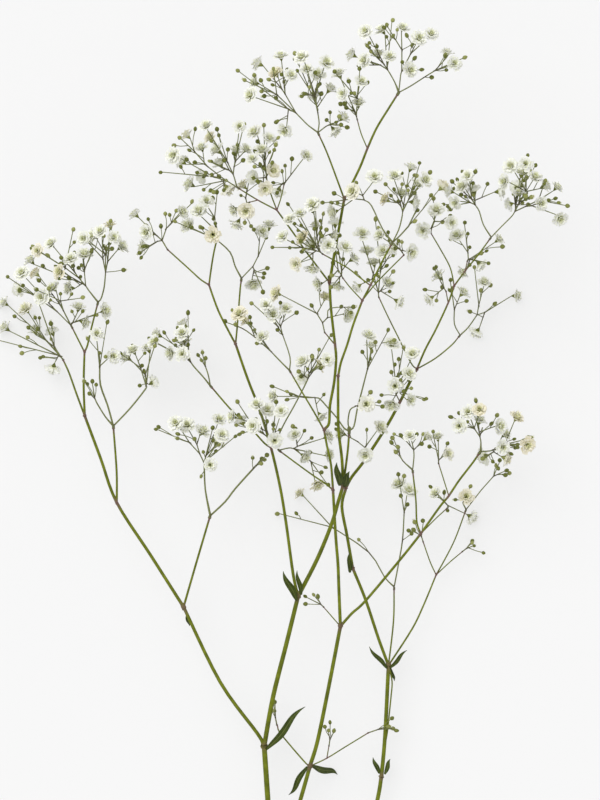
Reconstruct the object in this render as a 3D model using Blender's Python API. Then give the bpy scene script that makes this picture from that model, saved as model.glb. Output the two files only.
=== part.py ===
"""A cut stem of double-flowered gypsophila lying on a surface.

One woody base forks into three stems, whose thin branches end in open
sprays of twigs, buds and small white pompon flowers.

The frame is in metres with +Z up.
The stem lies along Y, its cut end at -Y.
Places along the branches are read on the photograph, in its pixels,
with a height over the surface in millimetres.
"""
import math
import random

import bmesh
import bpy
import numpy as np
from mathutils import Matrix, Vector
from mathutils.bvhtree import BVHTree

# Scale and origin
MM = 0.001
PIXEL = 0.6 * MM
ORIGIN_X = 279.3
ORIGIN_Y = 524.8

# Flowers and buds
BLOOM_RADIUS = 4.2 * MM
BUD_RADIUS = 1.25 * MM
BUDS_PER_BLOOM = 0.42

# Twigs
SEAT_STEP = 0.1 * MM
PEDICEL_RADIUS = 0.33 * MM
SEAT_GAP = 0.35 * MM
CLEARANCE = 0.45 * MM
SEED = 41

# Share of the faces kept at the joints, tried in turn
THIN_SHARES = [0.50, 0.56, 0.62, 0.68, 0.75, 0.82, 0.9]

# Share of a leaf's width at even steps from root to tip
LEAF_WIDTHS = [0.30, 0.85, 1.0, 0.62, 0.10]

# Flowers that touch the surface
LOW_BLOOMS = {(4, 328), (33, 331), (517, 295), (479, 330), (471, 517)}

# Colours: base colour and roughness
LOOKS = {
    "stem": ((0.20, 0.24, 0.045, 1.0), 0.55),
    "spray": ((0.62, 0.66, 0.50, 1.0), 0.70),
    "leaf": ((0.07, 0.13, 0.025, 1.0), 0.50),
}

# Branches: name, start and end radius in millimetres, and points as
# photograph x, photograph y, height over the surface in millimetres.
BRANCHES = [
    ("base", 2.2, 2.0, [(312, 1030, 1.7), (307, 995, 1.7), (303, 970, 2.3), (298, 950, 4)]),
    ("left_stem", 1.8, 1.6, [(298, 950, 4), (286, 918, 6), (276, 885, 8), (270, 840, 11),
                             (267.5, 800, 14), (264, 748, 18)]),
    ("centre_stem", 1.35, 1.15, [(276, 885, 8), (283, 856, 11), (293, 826, 15), (301, 800, 18),
                                 (310, 768, 22), (318, 741, 25), (330, 682, 31), (340.5, 627, 36)]),
    ("right_stem", 1.4, 1.2, [(298, 950, 4), (325, 918, 6), (350, 884, 7), (368, 845, 8),
                              (378.5, 800, 9), (382, 779, 10), (385.5, 739, 12), (389, 667, 16)]),
    # thin shoot close beside the right stem, from its lower joint to its fork
    ("right_beside", 0.50, 0.44, [(382, 779, 10), (384.9, 752, 11.4), (387.9, 734, 12.6),
                                  (389.9, 715, 13.8), (391.6, 698, 14.8), (392.6, 683, 15.4),
                                  (389, 667, 16)]),
    # left fork of the left stem
    ("far_left", 1.15, 0.85, [(264, 748, 18), (257, 735, 19), (220, 684, 20), (183, 608, 22),
                              (150, 556, 24), (116, 503, 27), (100, 459, 29), (84, 416, 31)]),
    ("mid_left", 0.72, 0.65, [(183, 608, 22), (196, 563, 26), (209, 519, 30)]),
    ("mid_left_a", 0.50, 0.45, [(209, 519, 30), (205, 490, 33), (204, 466, 36)]),
    ("mid_left_b", 0.58, 0.50, [(209, 519, 30), (225, 502, 31), (235, 489, 31), (253, 469, 32)]),
    ("left_inner", 0.70, 0.60, [(116, 503, 27), (116, 472, 31), (113, 429, 36)]),
    ("left_inner_a", 0.45, 0.40, [(113, 429, 36), (105, 417, 38), (97, 404, 41)]),
    ("left_inner_b", 0.55, 0.50, [(113, 429, 36), (107, 405, 38), (100, 385, 40)]),
    ("left_inner_c", 0.50, 0.45, [(113, 429, 36), (130, 408, 35), (145, 389, 34)]),
    ("left_low", 0.65, 0.50, [(84, 416, 31), (76, 395, 27), (68, 373, 22), (62, 360, 18)]),
    ("left_high", 0.75, 0.65, [(84, 416, 31), (83, 385, 35), (84, 352, 39)]),
    ("left_high_a", 0.50, 0.45, [(84, 352, 39), (77, 338, 41), (72, 328, 42)]),
    ("left_high_b", 0.60, 0.50, [(84, 352, 39), (87, 345, 40), (91, 328, 43), (97, 305, 46)]),
    ("left_high_c", 0.42, 0.38, [(97, 305, 46), (89, 291, 47)]),
    ("left_high_d", 0.45, 0.40, [(97, 305, 46), (101, 298, 47), (104, 287, 49)]),
    # right fork of the left stem
    ("left_main", 1.45, 1.3, [(264, 748, 18), (273, 698, 24), (286, 646, 31), (298, 597, 37)]),
    ("left_main_up", 1.3, 1.05, [(298, 597, 37), (317, 560, 41), (331, 526, 44), (338, 503, 47),
                                 (343, 486, 50)]),
    ("inner", 0.95, 0.75, [(298, 597, 37), (293, 574, 36), (286, 523, 36), (280, 487, 37),
                           (271, 448, 38), (260, 411, 41), (248, 380, 44), (235.5, 344, 48)]),
    ("inner_left", 0.55, 0.50, [(271, 448, 38), (264, 443, 38), (252, 430, 36), (232, 411, 34),
                                (212, 388, 33)]),
    ("inner_left_a", 0.45, 0.40, [(212, 388, 33), (203, 377, 33), (194, 367, 33)]),
    ("inner_left_b", 0.40, 0.36, [(212, 388, 33), (208, 375, 35)]),
    ("inner_up", 0.65, 0.60, [(235.5, 344, 48), (228, 330, 50), (218, 310, 52), (209, 285, 54)]),
    ("inner_up_a", 0.50, 0.42, [(209, 285, 54), (200, 279, 54), (188, 268, 53), (168, 250, 52)]),
    ("inner_up_b", 0.55, 0.50, [(209, 285, 54), (211, 270, 56), (214, 252, 58), (218, 236, 60)]),
    ("inner_mid", 0.55, 0.50, [(235.5, 344, 48), (237, 328, 46), (240, 290, 44), (241, 281, 43)]),
    ("inner_mid_a", 0.45, 0.40, [(241, 281, 43), (235, 266, 42), (230, 252, 41)]),
    ("inner_mid_b", 0.38, 0.35, [(241, 281, 43), (250, 269, 41)]),
    # upper fork of the centre stem
    ("centre_up", 1.0, 0.85, [(340.5, 627, 36), (339, 590, 42), (338, 564, 47), (336, 540, 51),
                              (334.5, 516, 55), (333, 490, 59)]),
    ("centre_up_b", 0.72, 0.65, [(333, 490, 59), (331, 465, 60), (327, 446, 60), (324, 430, 60)]),
    ("centre_prong_a", 0.55, 0.45, [(324, 430, 60), (314, 412, 59), (302, 392, 58), (291, 373, 57)]),
    ("centre_prong_aa", 0.42, 0.38, [(291, 373, 57), (282, 363, 57)]),
    ("centre_prong_ab", 0.42, 0.38, [(291, 373, 57), (290, 357, 59)]),
    ("centre_prong_b", 0.86, 0.80, [(324, 430, 60), (329, 423, 61), (330, 405, 63), (334, 383, 66),
                                    (336, 360, 69), (335, 345, 70), (331, 310, 73), (329.5, 283, 75)]),
    ("centre_twig", 0.42, 0.38, [(335, 345, 70), (325, 333, 70)]),
    ("centre_side", 0.52, 0.45, [(333, 490, 59), (326, 484, 58), (314, 476, 56), (300, 466, 53),
                                 (281, 452, 50)]),
    ("centre_side_a", 0.45, 0.38, [(281, 452, 50), (278, 438, 50), (284, 424, 50), (293, 408, 50),
                                   (301, 393, 50), (306, 383, 49)]),
    ("centre_side_b", 0.40, 0.38, [(281, 452, 50), (274, 444, 52)]),
    ("centre_side_c", 0.40, 0.36, [(281, 452, 50), (289, 448, 48)]),
    # the crown above the leafy joint
    ("crown", 0.95, 0.80, [(343, 486, 50), (342, 460, 56), (338.5, 430, 64), (338, 400, 71),
                           (338, 376, 76)]),
    ("crown_b", 0.75, 0.68, [(338, 376, 76), (341, 362, 79), (347, 345, 82), (353, 325, 85),
                             (362, 301, 88)]),
    ("crown_c", 0.60, 0.55, [(362, 301, 88), (370, 286, 90), (375, 276, 91), (383, 260, 93),
                             (390.5, 246, 95)]),
    ("crown_c1", 0.42, 0.36, [(390.5, 246, 95), (382, 230, 97), (371, 207, 99)]),
    ("crown_c2", 0.45, 0.40, [(390.5, 246, 95), (398, 231, 96), (401, 220, 96)]),
    ("crown_c3", 0.45, 0.40, [(390.5, 246, 95), (400, 236, 92), (408, 227, 90)]),
    ("crown_d", 0.45, 0.38, [(362, 301, 88), (372, 288, 84), (383, 276, 81), (403, 256, 77)]),
    ("crown_e", 0.45, 0.40, [(370, 286, 90), (358, 277, 89), (348, 269, 88), (334, 261, 88),
                             (323, 255, 88)]),
    ("crown_f", 0.40, 0.36, [(362, 301, 88), (350, 288, 84), (343, 279, 82)]),
    ("knot", 0.75, 0.62, [(343, 486, 50), (346, 465, 53), (348, 448, 56), (349, 434, 58)]),
    ("knot_a", 0.45, 0.40, [(349, 434, 58), (344, 428, 58), (337, 418, 57), (329, 409, 55),
                            (320, 399, 54)]),
    ("knot_b", 0.50, 0.42, [(349, 434, 58), (354, 426, 59), (357, 410, 61), (361, 394, 63)]),
    ("knot_c", 0.42, 0.38, [(349, 434, 58), (348, 421, 60), (350, 410, 61)]),
    ("top_left", 0.55, 0.50, [(329.5, 283, 75), (318, 268, 77), (303, 248, 80), (295, 236, 82),
                              (277, 211, 86)]),
    ("top_left_a", 0.45, 0.40, [(277, 211, 86), (258, 201, 86), (240, 190, 86)]),
    ("top_left_aa", 0.38, 0.34, [(240, 190, 86), (235, 180, 88)]),
    ("top_left_ab", 0.38, 0.34, [(240, 190, 86), (229, 183, 84)]),
    ("top_left_ac", 0.36, 0.33, [(258, 201, 86), (250, 203, 84)]),
    ("top_left_b", 0.42, 0.38, [(277, 211, 86), (272, 198, 88), (268, 186, 90)]),
    ("top_left_c", 0.38, 0.34, [(277, 211, 86), (281, 199, 85), (284, 186, 84)]),
    ("top", 0.88, 0.82, [(329.5, 283, 75), (334, 256, 80), (339, 228, 85), (344, 200, 90)]),
    ("top_a", 0.55, 0.45, [(344, 200, 90), (331, 165, 95), (325, 150, 97), (319, 137, 98)]),
    ("top_aa", 0.38, 0.34, [(319, 137, 98), (308, 127, 98), (300, 119, 98)]),
    ("top_ab", 0.38, 0.34, [(319, 137, 98), (319, 125, 100)]),
    ("top_ac", 0.36, 0.33, [(319, 137, 98), (326, 128, 97)]),
    ("top_b", 0.78, 0.62, [(344, 200, 90), (359, 170, 92), (367, 150, 94), (376, 130, 95),
                           (387, 112, 97), (396.5, 97, 98)]),
    ("top_ba", 0.38, 0.34, [(396.5, 97, 98), (394, 84, 98), (389, 75, 97)]),
    ("top_bb", 0.36, 0.33, [(396.5, 97, 98), (399, 86, 101), (400, 77, 103)]),
    ("top_bc", 0.38, 0.34, [(396.5, 97, 98), (410, 88, 98), (424, 79, 98)]),
    ("top_bd", 0.36, 0.33, [(367, 150, 94), (361, 136, 97), (357, 122, 99)]),
    # right fork of the centre stem
    ("fan", 0.85, 0.75, [(340.5, 627, 36), (352, 614, 36), (366, 601, 37), (402, 558, 40),
                         (421, 534, 42)]),
    ("fan_a", 0.56, 0.48, [(421, 534, 42), (417, 522, 44), (416, 500, 47), (413, 473, 50)]),
    ("fan_aa", 0.36, 0.33, [(413, 473, 50), (403, 461, 52)]),
    ("fan_ab", 0.38, 0.34, [(413, 473, 50), (414, 457, 53)]),
    ("fan_b", 0.72, 0.62, [(421, 534, 42), (440, 507, 44), (449, 496, 45), (459, 481, 46),
                           (472, 464, 48), (479, 454, 49)]),
    ("fan_ba", 0.40, 0.36, [(479, 454, 49), (481, 442, 51)]),
    ("fan_bb", 0.40, 0.36, [(479, 454, 49), (490, 451, 48)]),
    ("fan_bc", 0.36, 0.33, [(449, 496, 45), (444, 480, 44), (439, 464, 43)]),
    ("fan_c", 0.38, 0.34, [(421, 534, 42), (436, 519, 38), (447, 509, 35)]),
    # the right stem's forks
    ("right_main", 0.95, 0.90, [(389, 667, 16), (379, 640, 20), (366, 601, 24), (353, 569, 27),
                                (347, 535, 30), (342, 507, 34), (346, 488, 37), (352, 477, 39),
                                (365, 460, 42), (387, 426, 46), (400, 402, 49), (410, 382, 52),
                                (417, 369, 54)]),
    ("right_a", 0.65, 0.55, [(417, 369, 54), (425, 350, 56), (436, 329, 59), (448, 303, 63),
                             (454, 286, 65)]),
    ("right_aa", 0.42, 0.36, [(454, 286, 65), (450, 268, 66), (441, 251, 67), (431, 234, 68)]),
    ("right_ab", 0.50, 0.42, [(454, 286, 65), (465, 271, 65), (478, 255, 66), (489, 240, 67)]),
    ("right_aba", 0.38, 0.34, [(489, 240, 67), (483, 225, 68), (479, 212, 69)]),
    ("right_abb", 0.40, 0.35, [(489, 240, 67), (500, 228, 67), (511, 217, 67)]),
    ("right_abc", 0.36, 0.33, [(465, 271, 65), (467, 262, 63)]),
    ("right_ac", 0.36, 0.33, [(448, 303, 63), (446, 292, 61)]),
    ("right_b", 0.45, 0.40, [(417, 369, 54), (436, 358, 43), (452, 345, 34), (459, 337, 31)]),
    ("right_ba", 0.38, 0.34, [(459, 337, 31), (469, 327, 27)]),
    ("right_bb", 0.34, 0.32, [(459, 337, 31), (455, 324, 31)]),
    ("right_c", 0.42, 0.36, [(417, 369, 54), (411, 363, 56), (398, 337, 60), (388, 317, 63),
                             (379, 298, 66)]),
    ("right_d", 0.38, 0.34, [(400, 402, 49), (396, 394, 53)]),
    ("right_e", 0.38, 0.34, [(365, 460, 42), (366, 450, 46)]),
    ("low_mid", 0.50, 0.45, [(389, 667, 16), (394, 623, 17), (394.6, 591, 18)]),
    ("low_mid_a", 0.38, 0.35, [(394.6, 591, 18), (385, 578, 17), (369, 553, 16)]),
    ("low_mid_b", 0.42, 0.38, [(394.6, 591, 18), (399, 565, 20), (403, 541, 22)]),
    ("low_right", 0.60, 0.50, [(389, 667, 16), (413, 630, 14), (425, 605, 13), (437, 576, 12)]),
    ("low_right_a", 0.38, 0.35, [(437, 576, 12), (431, 563, 13), (424, 543, 16)]),
    ("low_right_b", 0.45, 0.40, [(437, 576, 12), (446, 560, 12), (456, 540, 13), (466, 513, 15)]),
    ("low_right_ba", 0.34, 0.32, [(466, 513, 15), (464, 504, 15)]),
    ("low_right_bb", 0.36, 0.33, [(466, 513, 15), (482, 491, 17), (489, 483, 18)]),
    ("low_right_c", 0.36, 0.33, [(437, 576, 12), (451, 563, 11), (463, 553, 10)]),
    # small basal shoots
    ("shoot_left", 0.50, 0.42, [(310, 768, 22), (304, 763, 22), (281, 736, 20), (277, 727, 19)]),
    ("shoot_right", 0.42, 0.38, [(310, 768, 22), (327, 760, 21.5), (345, 749, 20), (368, 735, 19)]),
    ("shoot_bud", 0.36, 0.33, [(327, 760, 21.5), (329, 748, 23)]),
    ("knee_left", 0.36, 0.33, [(340.5, 627, 36), (324, 608, 37)]),
]

# Branches that carry a spray of their own where others share one
SEPARATE = {"inner_up_a", "inner_up_b", "top_left_b", "top_left_c", "left_high_a", "top_bd",
            "shoot_left", "shoot_right"}

# Open flowers, as photograph x and y
BLOOMS = [
    (409, 73), (453, 66), (418, 42), (402, 31), (382, 33), (365, 34), (378, 57), (389, 59),
    (364, 63), (353, 57), (361, 84), (358, 106), (446, 56), (430, 37), (260, 66), (281, 59),
    (276, 76), (256, 85), (251, 98), (240, 129), (255, 134), (269, 140), (285, 132), (291, 78),
    (302, 61), (307, 72), (318, 78), (326, 66), (315, 100), (329, 92), (339, 77), (347, 98),
    (330, 128), (342, 120), (188, 137), (207, 128), (211, 139), (202, 149), (174, 157),
    (184, 163), (218, 152), (221, 166), (236, 153), (246, 151), (262, 152), (253, 161),
    (273, 172), (254, 179), (244, 187), (227, 188), (204, 177), (191, 185), (279, 190),
    (265, 190), (306, 157), (207, 202), (199, 212), (182, 212), (188, 225), (213, 235),
    (235, 211), (246, 212), (238, 223), (146, 232), (145, 246), (136, 215), (253, 283),
    (110, 226), (101, 232), (93, 236), (82, 238), (114, 238), (121, 247), (51, 244),
    (38, 251), (31, 261), (22, 273), (36, 274), (53, 288), (71, 259), (84, 255), (60, 272),
    (70, 288), (19, 289), (41, 297), (24, 309), (3, 303), (78, 308), (83, 322), (104, 311),
    (97, 334), (33, 331), (51, 333), (4, 328), (60, 361), (127, 358), (113, 356), (133, 351),
    (148, 349), (151, 383), (154, 342), (158, 335), (184, 325), (182, 333), (186, 345),
    (171, 353), (182, 354), (176, 423), (187, 425), (202, 432), (219, 420), (222, 435),
    (216, 444), (210, 465), (233, 417), (242, 423), (253, 426), (257, 405), (267, 410),
    (281, 411), (274, 396), (275, 440), (295, 435), (304, 456), (317, 484), (301, 495),
    (327, 437), (328, 455), (342, 434), (365, 455), (380, 428), (366, 404), (320, 415),
    (410, 436), (426, 438), (438, 438), (399, 485), (409, 491), (436, 494), (301, 376),
    (303, 362), (330, 356), (318, 366), (347, 315), (240, 314), (247, 322), (266, 305),
    (273, 315), (286, 309), (262, 337), (269, 226), (262, 232), (283, 238), (303, 239),
    (290, 221), (313, 206), (316, 228), (334, 213), (335, 225), (332, 236), (313, 247),
    (328, 246), (300, 215), (277, 294), (296, 265), (312, 268), (319, 284), (338, 285),
    (325, 298), (362, 235), (380, 236), (367, 252), (395, 249), (383, 252), (352, 260),
    (345, 248), (374, 264), (387, 283), (397, 301), (359, 286), (352, 193), (374, 179),
    (386, 201), (410, 170), (416, 186), (424, 182), (401, 196), (412, 203), (438, 183),
    (436, 211), (455, 203), (451, 192), (462, 187), (474, 192), (467, 177), (451, 223),
    (457, 236), (423, 231), (440, 277), (394, 178), (407, 254), (508, 167), (503, 180),
    (521, 173), (529, 165), (498, 192), (511, 204), (519, 194), (540, 204), (543, 187),
    (556, 188), (559, 219), (498, 240), (479, 264), (485, 282), (464, 271), (515, 184),
    (534, 178), (431, 298), (463, 293), (479, 330), (368, 336), (371, 347), (412, 354),
    (409, 374), (395, 386), (392, 404), (410, 400), (392, 344), (517, 295), (459, 426),
    (468, 412), (480, 411), (479, 422), (448, 454), (486, 456), (500, 427), (505, 435),
    (503, 447), (505, 458), (527, 445), (517, 418), (467, 497), (471, 517),
]

# Leaves: name, root, tip, width in millimetres, lift of the tip
LEAVES = [
    ("leaf_left_fork", (270, 747, 20.5), (308, 705, 27), 4.4, 3.0),
    ("leaf_centre_right", (314, 768.5, 21.2), (339, 778, 0), 4.4, 0.0),
    ("leaf_centre_left", (305, 772, 19), (287, 800, 9), 3.6, 1.0),
    ("leaf_right_stem_a", (380, 776, 10.3), (374, 761, 12), 2.8, 1.0),
    ("leaf_right_stem_b", (386, 775, 10.5), (391, 761, 8), 2.8, 1.0),
    ("leaf_inner_fork", (295, 597, 39.5), (282, 569, 44), 4.2, 2.0),
    ("leaf_inner_fork_b", (301, 593, 39.5), (297, 570, 45), 3.0, 1.0),
    ("leaf_right_fork_a", (386, 668, 17.5), (369, 647, 24), 2.8, 1.5),
    ("leaf_right_fork_b", (392, 668, 17), (408, 651, 21), 2.6, 1.0),
    ("leaf_right_fork_c", (391, 670, 14.5), (395, 683, 10), 2.2, 0.5),
    ("leaf_crown_a", (345, 484, 53), (350, 470, 64), 4.8, 1.0),
    ("leaf_crown_b", (340, 486, 52.5), (337, 464, 66), 4.6, 1.0),
    ("leaf_right_main", (350, 567, 29.5), (350, 548, 36), 3.2, 1.0),
    ("leaf_far_left", (186, 611, 23.5), (188, 623, 18), 3.0, 0.5),
]


def place(x, y, z):
    """Photograph pixels and a height in millimetres, as a point in metres."""
    return Vector(((x - ORIGIN_X) * PIXEL, (ORIGIN_Y - y) * PIXEL, z * MM))


def remove_everything():
    for obj in list(bpy.data.objects):
        bpy.data.objects.remove(obj, do_unlink=True)


def material(kind, name):
    colour, roughness = LOOKS[kind]
    mat = bpy.data.materials.new(name)
    mat.use_nodes = True
    shader = mat.node_tree.nodes["Principled BSDF"]
    shader.inputs["Base Color"].default_value = colour
    shader.inputs["Roughness"].default_value = roughness
    shader.inputs["Metallic"].default_value = 0.0
    mat.diffuse_color = colour
    return mat


def object_from(bm, name, collection):
    mesh = bpy.data.meshes.new(name)
    bm.to_mesh(mesh)
    bm.free()
    obj = bpy.data.objects.new(name, mesh)
    collection.objects.link(obj)
    return obj


def turned_to(direction, spin=0.0):
    """A turn that takes +Z to the direction, after a spin about +Z."""
    turn = Vector((0, 0, 1)).rotation_difference(direction.normalized())
    return turn.to_matrix().to_4x4() @ Matrix.Rotation(spin, 4, "Z")


# Tubes


def smooth_path(points, steps):
    """Points on a Catmull-Rom curve through the given ones."""
    if len(points) < 3 or steps < 2:
        return points
    ends = [points[0] * 2 - points[1]] + points + [points[-1] * 2 - points[-2]]
    path = [points[0]]
    for i in range(1, len(ends) - 2):
        a, b, c, d = ends[i - 1:i + 3]
        for k in range(1, steps + 1):
            t = k / steps
            path.append(0.5 * (2 * b + (c - a) * t + (2 * a - 5 * b + 4 * c - d) * t * t
                               + (3 * b - a - 3 * c + d) * t * t * t))
    return path


def tube(points, start, end, bevel, name, collection):
    """A tapering tube with closed ends, from a bevelled curve."""
    curve = bpy.data.curves.new(name, "CURVE")
    curve.dimensions = "3D"
    curve.bevel_depth = 1.0
    curve.bevel_resolution = bevel
    curve.use_fill_caps = True
    spline = curve.splines.new("POLY")
    spline.points.add(len(points) - 1)
    for i, point in enumerate(points):
        spline.points[i].co = (*point, 1.0)
        spline.points[i].radius = start + (end - start) * i / (len(points) - 1)
    holder = bpy.data.objects.new(name, curve)
    collection.objects.link(holder)
    graph = bpy.context.evaluated_depsgraph_get()
    mesh = bpy.data.meshes.new_from_object(holder.evaluated_get(graph))
    bpy.data.objects.remove(holder, do_unlink=True)
    bm = bmesh.new()
    bm.from_mesh(mesh)
    bpy.data.meshes.remove(mesh)
    bmesh.ops.remove_doubles(bm, verts=bm.verts, dist=1e-6)
    bmesh.ops.recalc_face_normals(bm, faces=bm.faces)
    return object_from(bm, name, collection)


# Stalks with a flower or bud at their end


def ring_of(bm, centre, direction, radius, sides, spin):
    """A ring of vertices round a point, square to the direction."""
    turn = turned_to(direction, spin)
    ring = []
    for i in range(sides):
        angle = 2 * math.pi * i / sides
        corner = turn @ Vector((radius * math.cos(angle), radius * math.sin(angle), 0))
        ring.append(bm.verts.new(centre + corner))
    return ring


def bridge(bm, low, high, axis):
    """Triangles between two rings of unlike counts that run the same way."""
    middle = sum((v.co for v in low), Vector()) / len(low)
    side = axis.orthogonal().normalized()
    other = axis.cross(side)

    def bearing(vert, centre):
        arm = vert.co - centre
        return math.atan2(arm.dot(other), arm.dot(side)) % (2 * math.pi)

    top = sum((v.co for v in high), Vector()) / len(high)
    low = sorted(low, key=lambda v: bearing(v, middle))
    high = sorted(high, key=lambda v: bearing(v, top))
    at_low = [bearing(v, middle) for v in low]
    at_high = [bearing(v, top) for v in high]
    i = 0
    j = 0
    while i < len(low) or j < len(high):
        next_low = at_low[(i + 1) % len(low)] + (2 * math.pi if i + 1 >= len(low) else 0)
        next_high = at_high[(j + 1) % len(high)] + (2 * math.pi if j + 1 >= len(high) else 0)
        a = low[i % len(low)]
        b = high[j % len(high)]
        if j >= len(high) or (i < len(low) and next_low <= next_high):
            bm.faces.new((a, low[(i + 1) % len(low)], b))
            i += 1
        else:
            bm.faces.new((a, high[(j + 1) % len(high)], b))
            j += 1


def add_bloom(bm, ring, root, axis, size, spin, petals):
    """A double flower: outer petals, a ring of inner ones and a hollow middle."""
    turn = Matrix.Translation(root) @ turned_to(axis, spin) @ Matrix.Scale(size, 4)
    outer = []
    inner = []
    for i in range(2 * petals):
        angle = math.pi * i / petals
        reach, height = (1.0, 0.70) if i % 2 == 0 else (0.62, 0.46)
        corner = Vector((reach * math.cos(angle), reach * math.sin(angle), height))
        outer.append(bm.verts.new(turn @ corner))
    for i in range(petals):
        angle = math.pi * (2 * i + 1) / petals
        corner = Vector((0.56 * math.cos(angle), 0.56 * math.sin(angle), 1.12))
        inner.append(bm.verts.new(turn @ corner))
    middle = bm.verts.new(turn @ Vector((0, 0, 0.80)))
    bridge(bm, ring, outer, axis)
    for i in range(2 * petals):
        j = (i + 1) % (2 * petals)
        bm.faces.new((outer[i], outer[j], inner[i // 2]))
    for i in range(petals):
        j = (i + 1) % petals
        tip = outer[(2 * i + 2) % (2 * petals)]
        bm.faces.new((inner[i], tip, inner[j]))
        bm.faces.new((inner[i], inner[j], middle))


def add_bud(bm, ring, root, axis, size, spin):
    """A plump pointed bud."""
    turn = Matrix.Translation(root) @ turned_to(axis, spin) @ Matrix.Scale(size, 4)
    waist = []
    for i in range(4):
        angle = math.pi * i / 2
        waist.append(bm.verts.new(turn @ Vector((math.cos(angle), math.sin(angle), 1.15))))
    tip = bm.verts.new(turn @ Vector((0, 0, 2.5)))
    bridge(bm, ring, waist, axis)
    for i in range(4):
        bm.faces.new((waist[i], waist[(i + 1) % 4], tip))


def stalk(points, radii, head, spin, name, collection):
    """A three-sided stalk through its points, with its flower or bud."""
    bm = bmesh.new()
    rings = []
    last = len(points) - 1
    for i, point in enumerate(points):
        ahead = points[min(i + 1, last)] - points[max(i - 1, 0)]
        rings.append(ring_of(bm, point, ahead, radii[i], 3, spin))
    bm.faces.new(list(reversed(rings[0])))
    for low, high in zip(rings, rings[1:]):
        nearest = min(range(3), key=lambda k: sum((low[m].co - high[(m + k) % 3].co).length
                                                  for m in range(3)))
        for k in range(3):
            m = (k + 1) % 3
            a, b = high[(k + nearest) % 3], high[(m + nearest) % 3]
            bm.faces.new((low[k], low[m], b, a))
    if head is None:
        bm.faces.new(rings[-1])
    elif head[0] == "bloom":
        add_bloom(bm, rings[-1], *head[1:])
    else:
        add_bud(bm, rings[-1], *head[1:])
    bmesh.ops.triangulate(bm, faces=bm.faces)
    bmesh.ops.recalc_face_normals(bm, faces=bm.faces)
    return object_from(bm, name, collection)


def fuse(first, others, name):
    """One Boolean union of the first object with all in a collection, applied."""
    if len(others.objects):
        union = first.modifiers.new("Fuse", "BOOLEAN")
        union.operation = "UNION"
        union.operand_type = "COLLECTION"
        union.collection = others
        union.solver = "MANIFOLD"
        graph = bpy.context.evaluated_depsgraph_get()
        mesh = bpy.data.meshes.new_from_object(first.evaluated_get(graph))
        first.modifiers.clear()
        first.data = mesh
    for obj in list(others.objects):
        bpy.data.objects.remove(obj, do_unlink=True)
    bpy.data.collections.remove(others)
    first.name = name
    return first


def largest_body(obj):
    """Keeps the largest closed body and turns its faces out."""
    bm = bmesh.new()
    bm.from_mesh(obj.data)
    bodies = []
    left = set(bm.verts)
    while left:
        stack = [left.pop()]
        body = list(stack)
        while stack:
            vert = stack.pop()
            for edge in vert.link_edges:
                other = edge.other_vert(vert)
                if other in left:
                    left.remove(other)
                    stack.append(other)
                    body.append(other)
        bodies.append(body)
    bodies.sort(key=len)
    dropped = [vert for body in bodies[:-1] for vert in body]
    if dropped:
        bmesh.ops.delete(bm, geom=dropped, context="VERTS")
    bmesh.ops.triangulate(bm, faces=bm.faces)
    bmesh.ops.recalc_face_normals(bm, faces=bm.faces)
    open_edges = sum(1 for edge in bm.edges if len(edge.link_faces) != 2)
    bm.to_mesh(obj.data)
    bm.free()
    return len(dropped), open_edges


def crosses_itself(bm):
    """True if two faces that share no corner meet, or an edge is open."""
    if any(len(edge.link_faces) != 2 for edge in bm.edges):
        return True
    tree = BVHTree.FromBMesh(bm, epsilon=0.0)
    bm.faces.ensure_lookup_table()
    for i, j in tree.overlap(tree):
        if i < j:
            corners = {v.index for v in bm.faces[i].verts}
            if not corners & {v.index for v in bm.faces[j].verts}:
                return True
    return False


def thin_out(obj):
    """Merges the small faces at the joints, as far as the body stays clean."""
    for share in THIN_SHARES:
        fewer = obj.modifiers.new("Thin", "DECIMATE")
        fewer.decimate_type = "COLLAPSE"
        fewer.ratio = share
        fewer.use_collapse_triangulate = True
        graph = bpy.context.evaluated_depsgraph_get()
        mesh = bpy.data.meshes.new_from_object(obj.evaluated_get(graph))
        obj.modifiers.clear()
        bm = bmesh.new()
        bm.from_mesh(mesh)
        bmesh.ops.triangulate(bm, faces=bm.faces)
        bad = crosses_itself(bm)
        bm.free()
        if not bad:
            obj.data = mesh
            return share
        bpy.data.meshes.remove(mesh)
    return 1.0


def flatten_foot(obj):
    """Presses what lies below the surface flat on it."""
    if min(v.co.z for v in obj.data.vertices) > -1e-5:
        return
    bm = bmesh.new()
    bm.from_mesh(obj.data)
    cut = bmesh.ops.bisect_plane(bm, geom=bm.verts[:] + bm.edges[:] + bm.faces[:],
                                 dist=1e-7, plane_co=(0, 0, 0), plane_no=(0, 0, 1),
                                 clear_inner=True)
    edges = [g for g in cut["geom_cut"] if isinstance(g, bmesh.types.BMEdge)]
    bmesh.ops.holes_fill(bm, edges=edges)
    bmesh.ops.triangulate(bm, faces=bm.faces)
    bmesh.ops.recalc_face_normals(bm, faces=bm.faces)
    bm.to_mesh(obj.data)
    bm.free()


# Keeping clear


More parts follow.
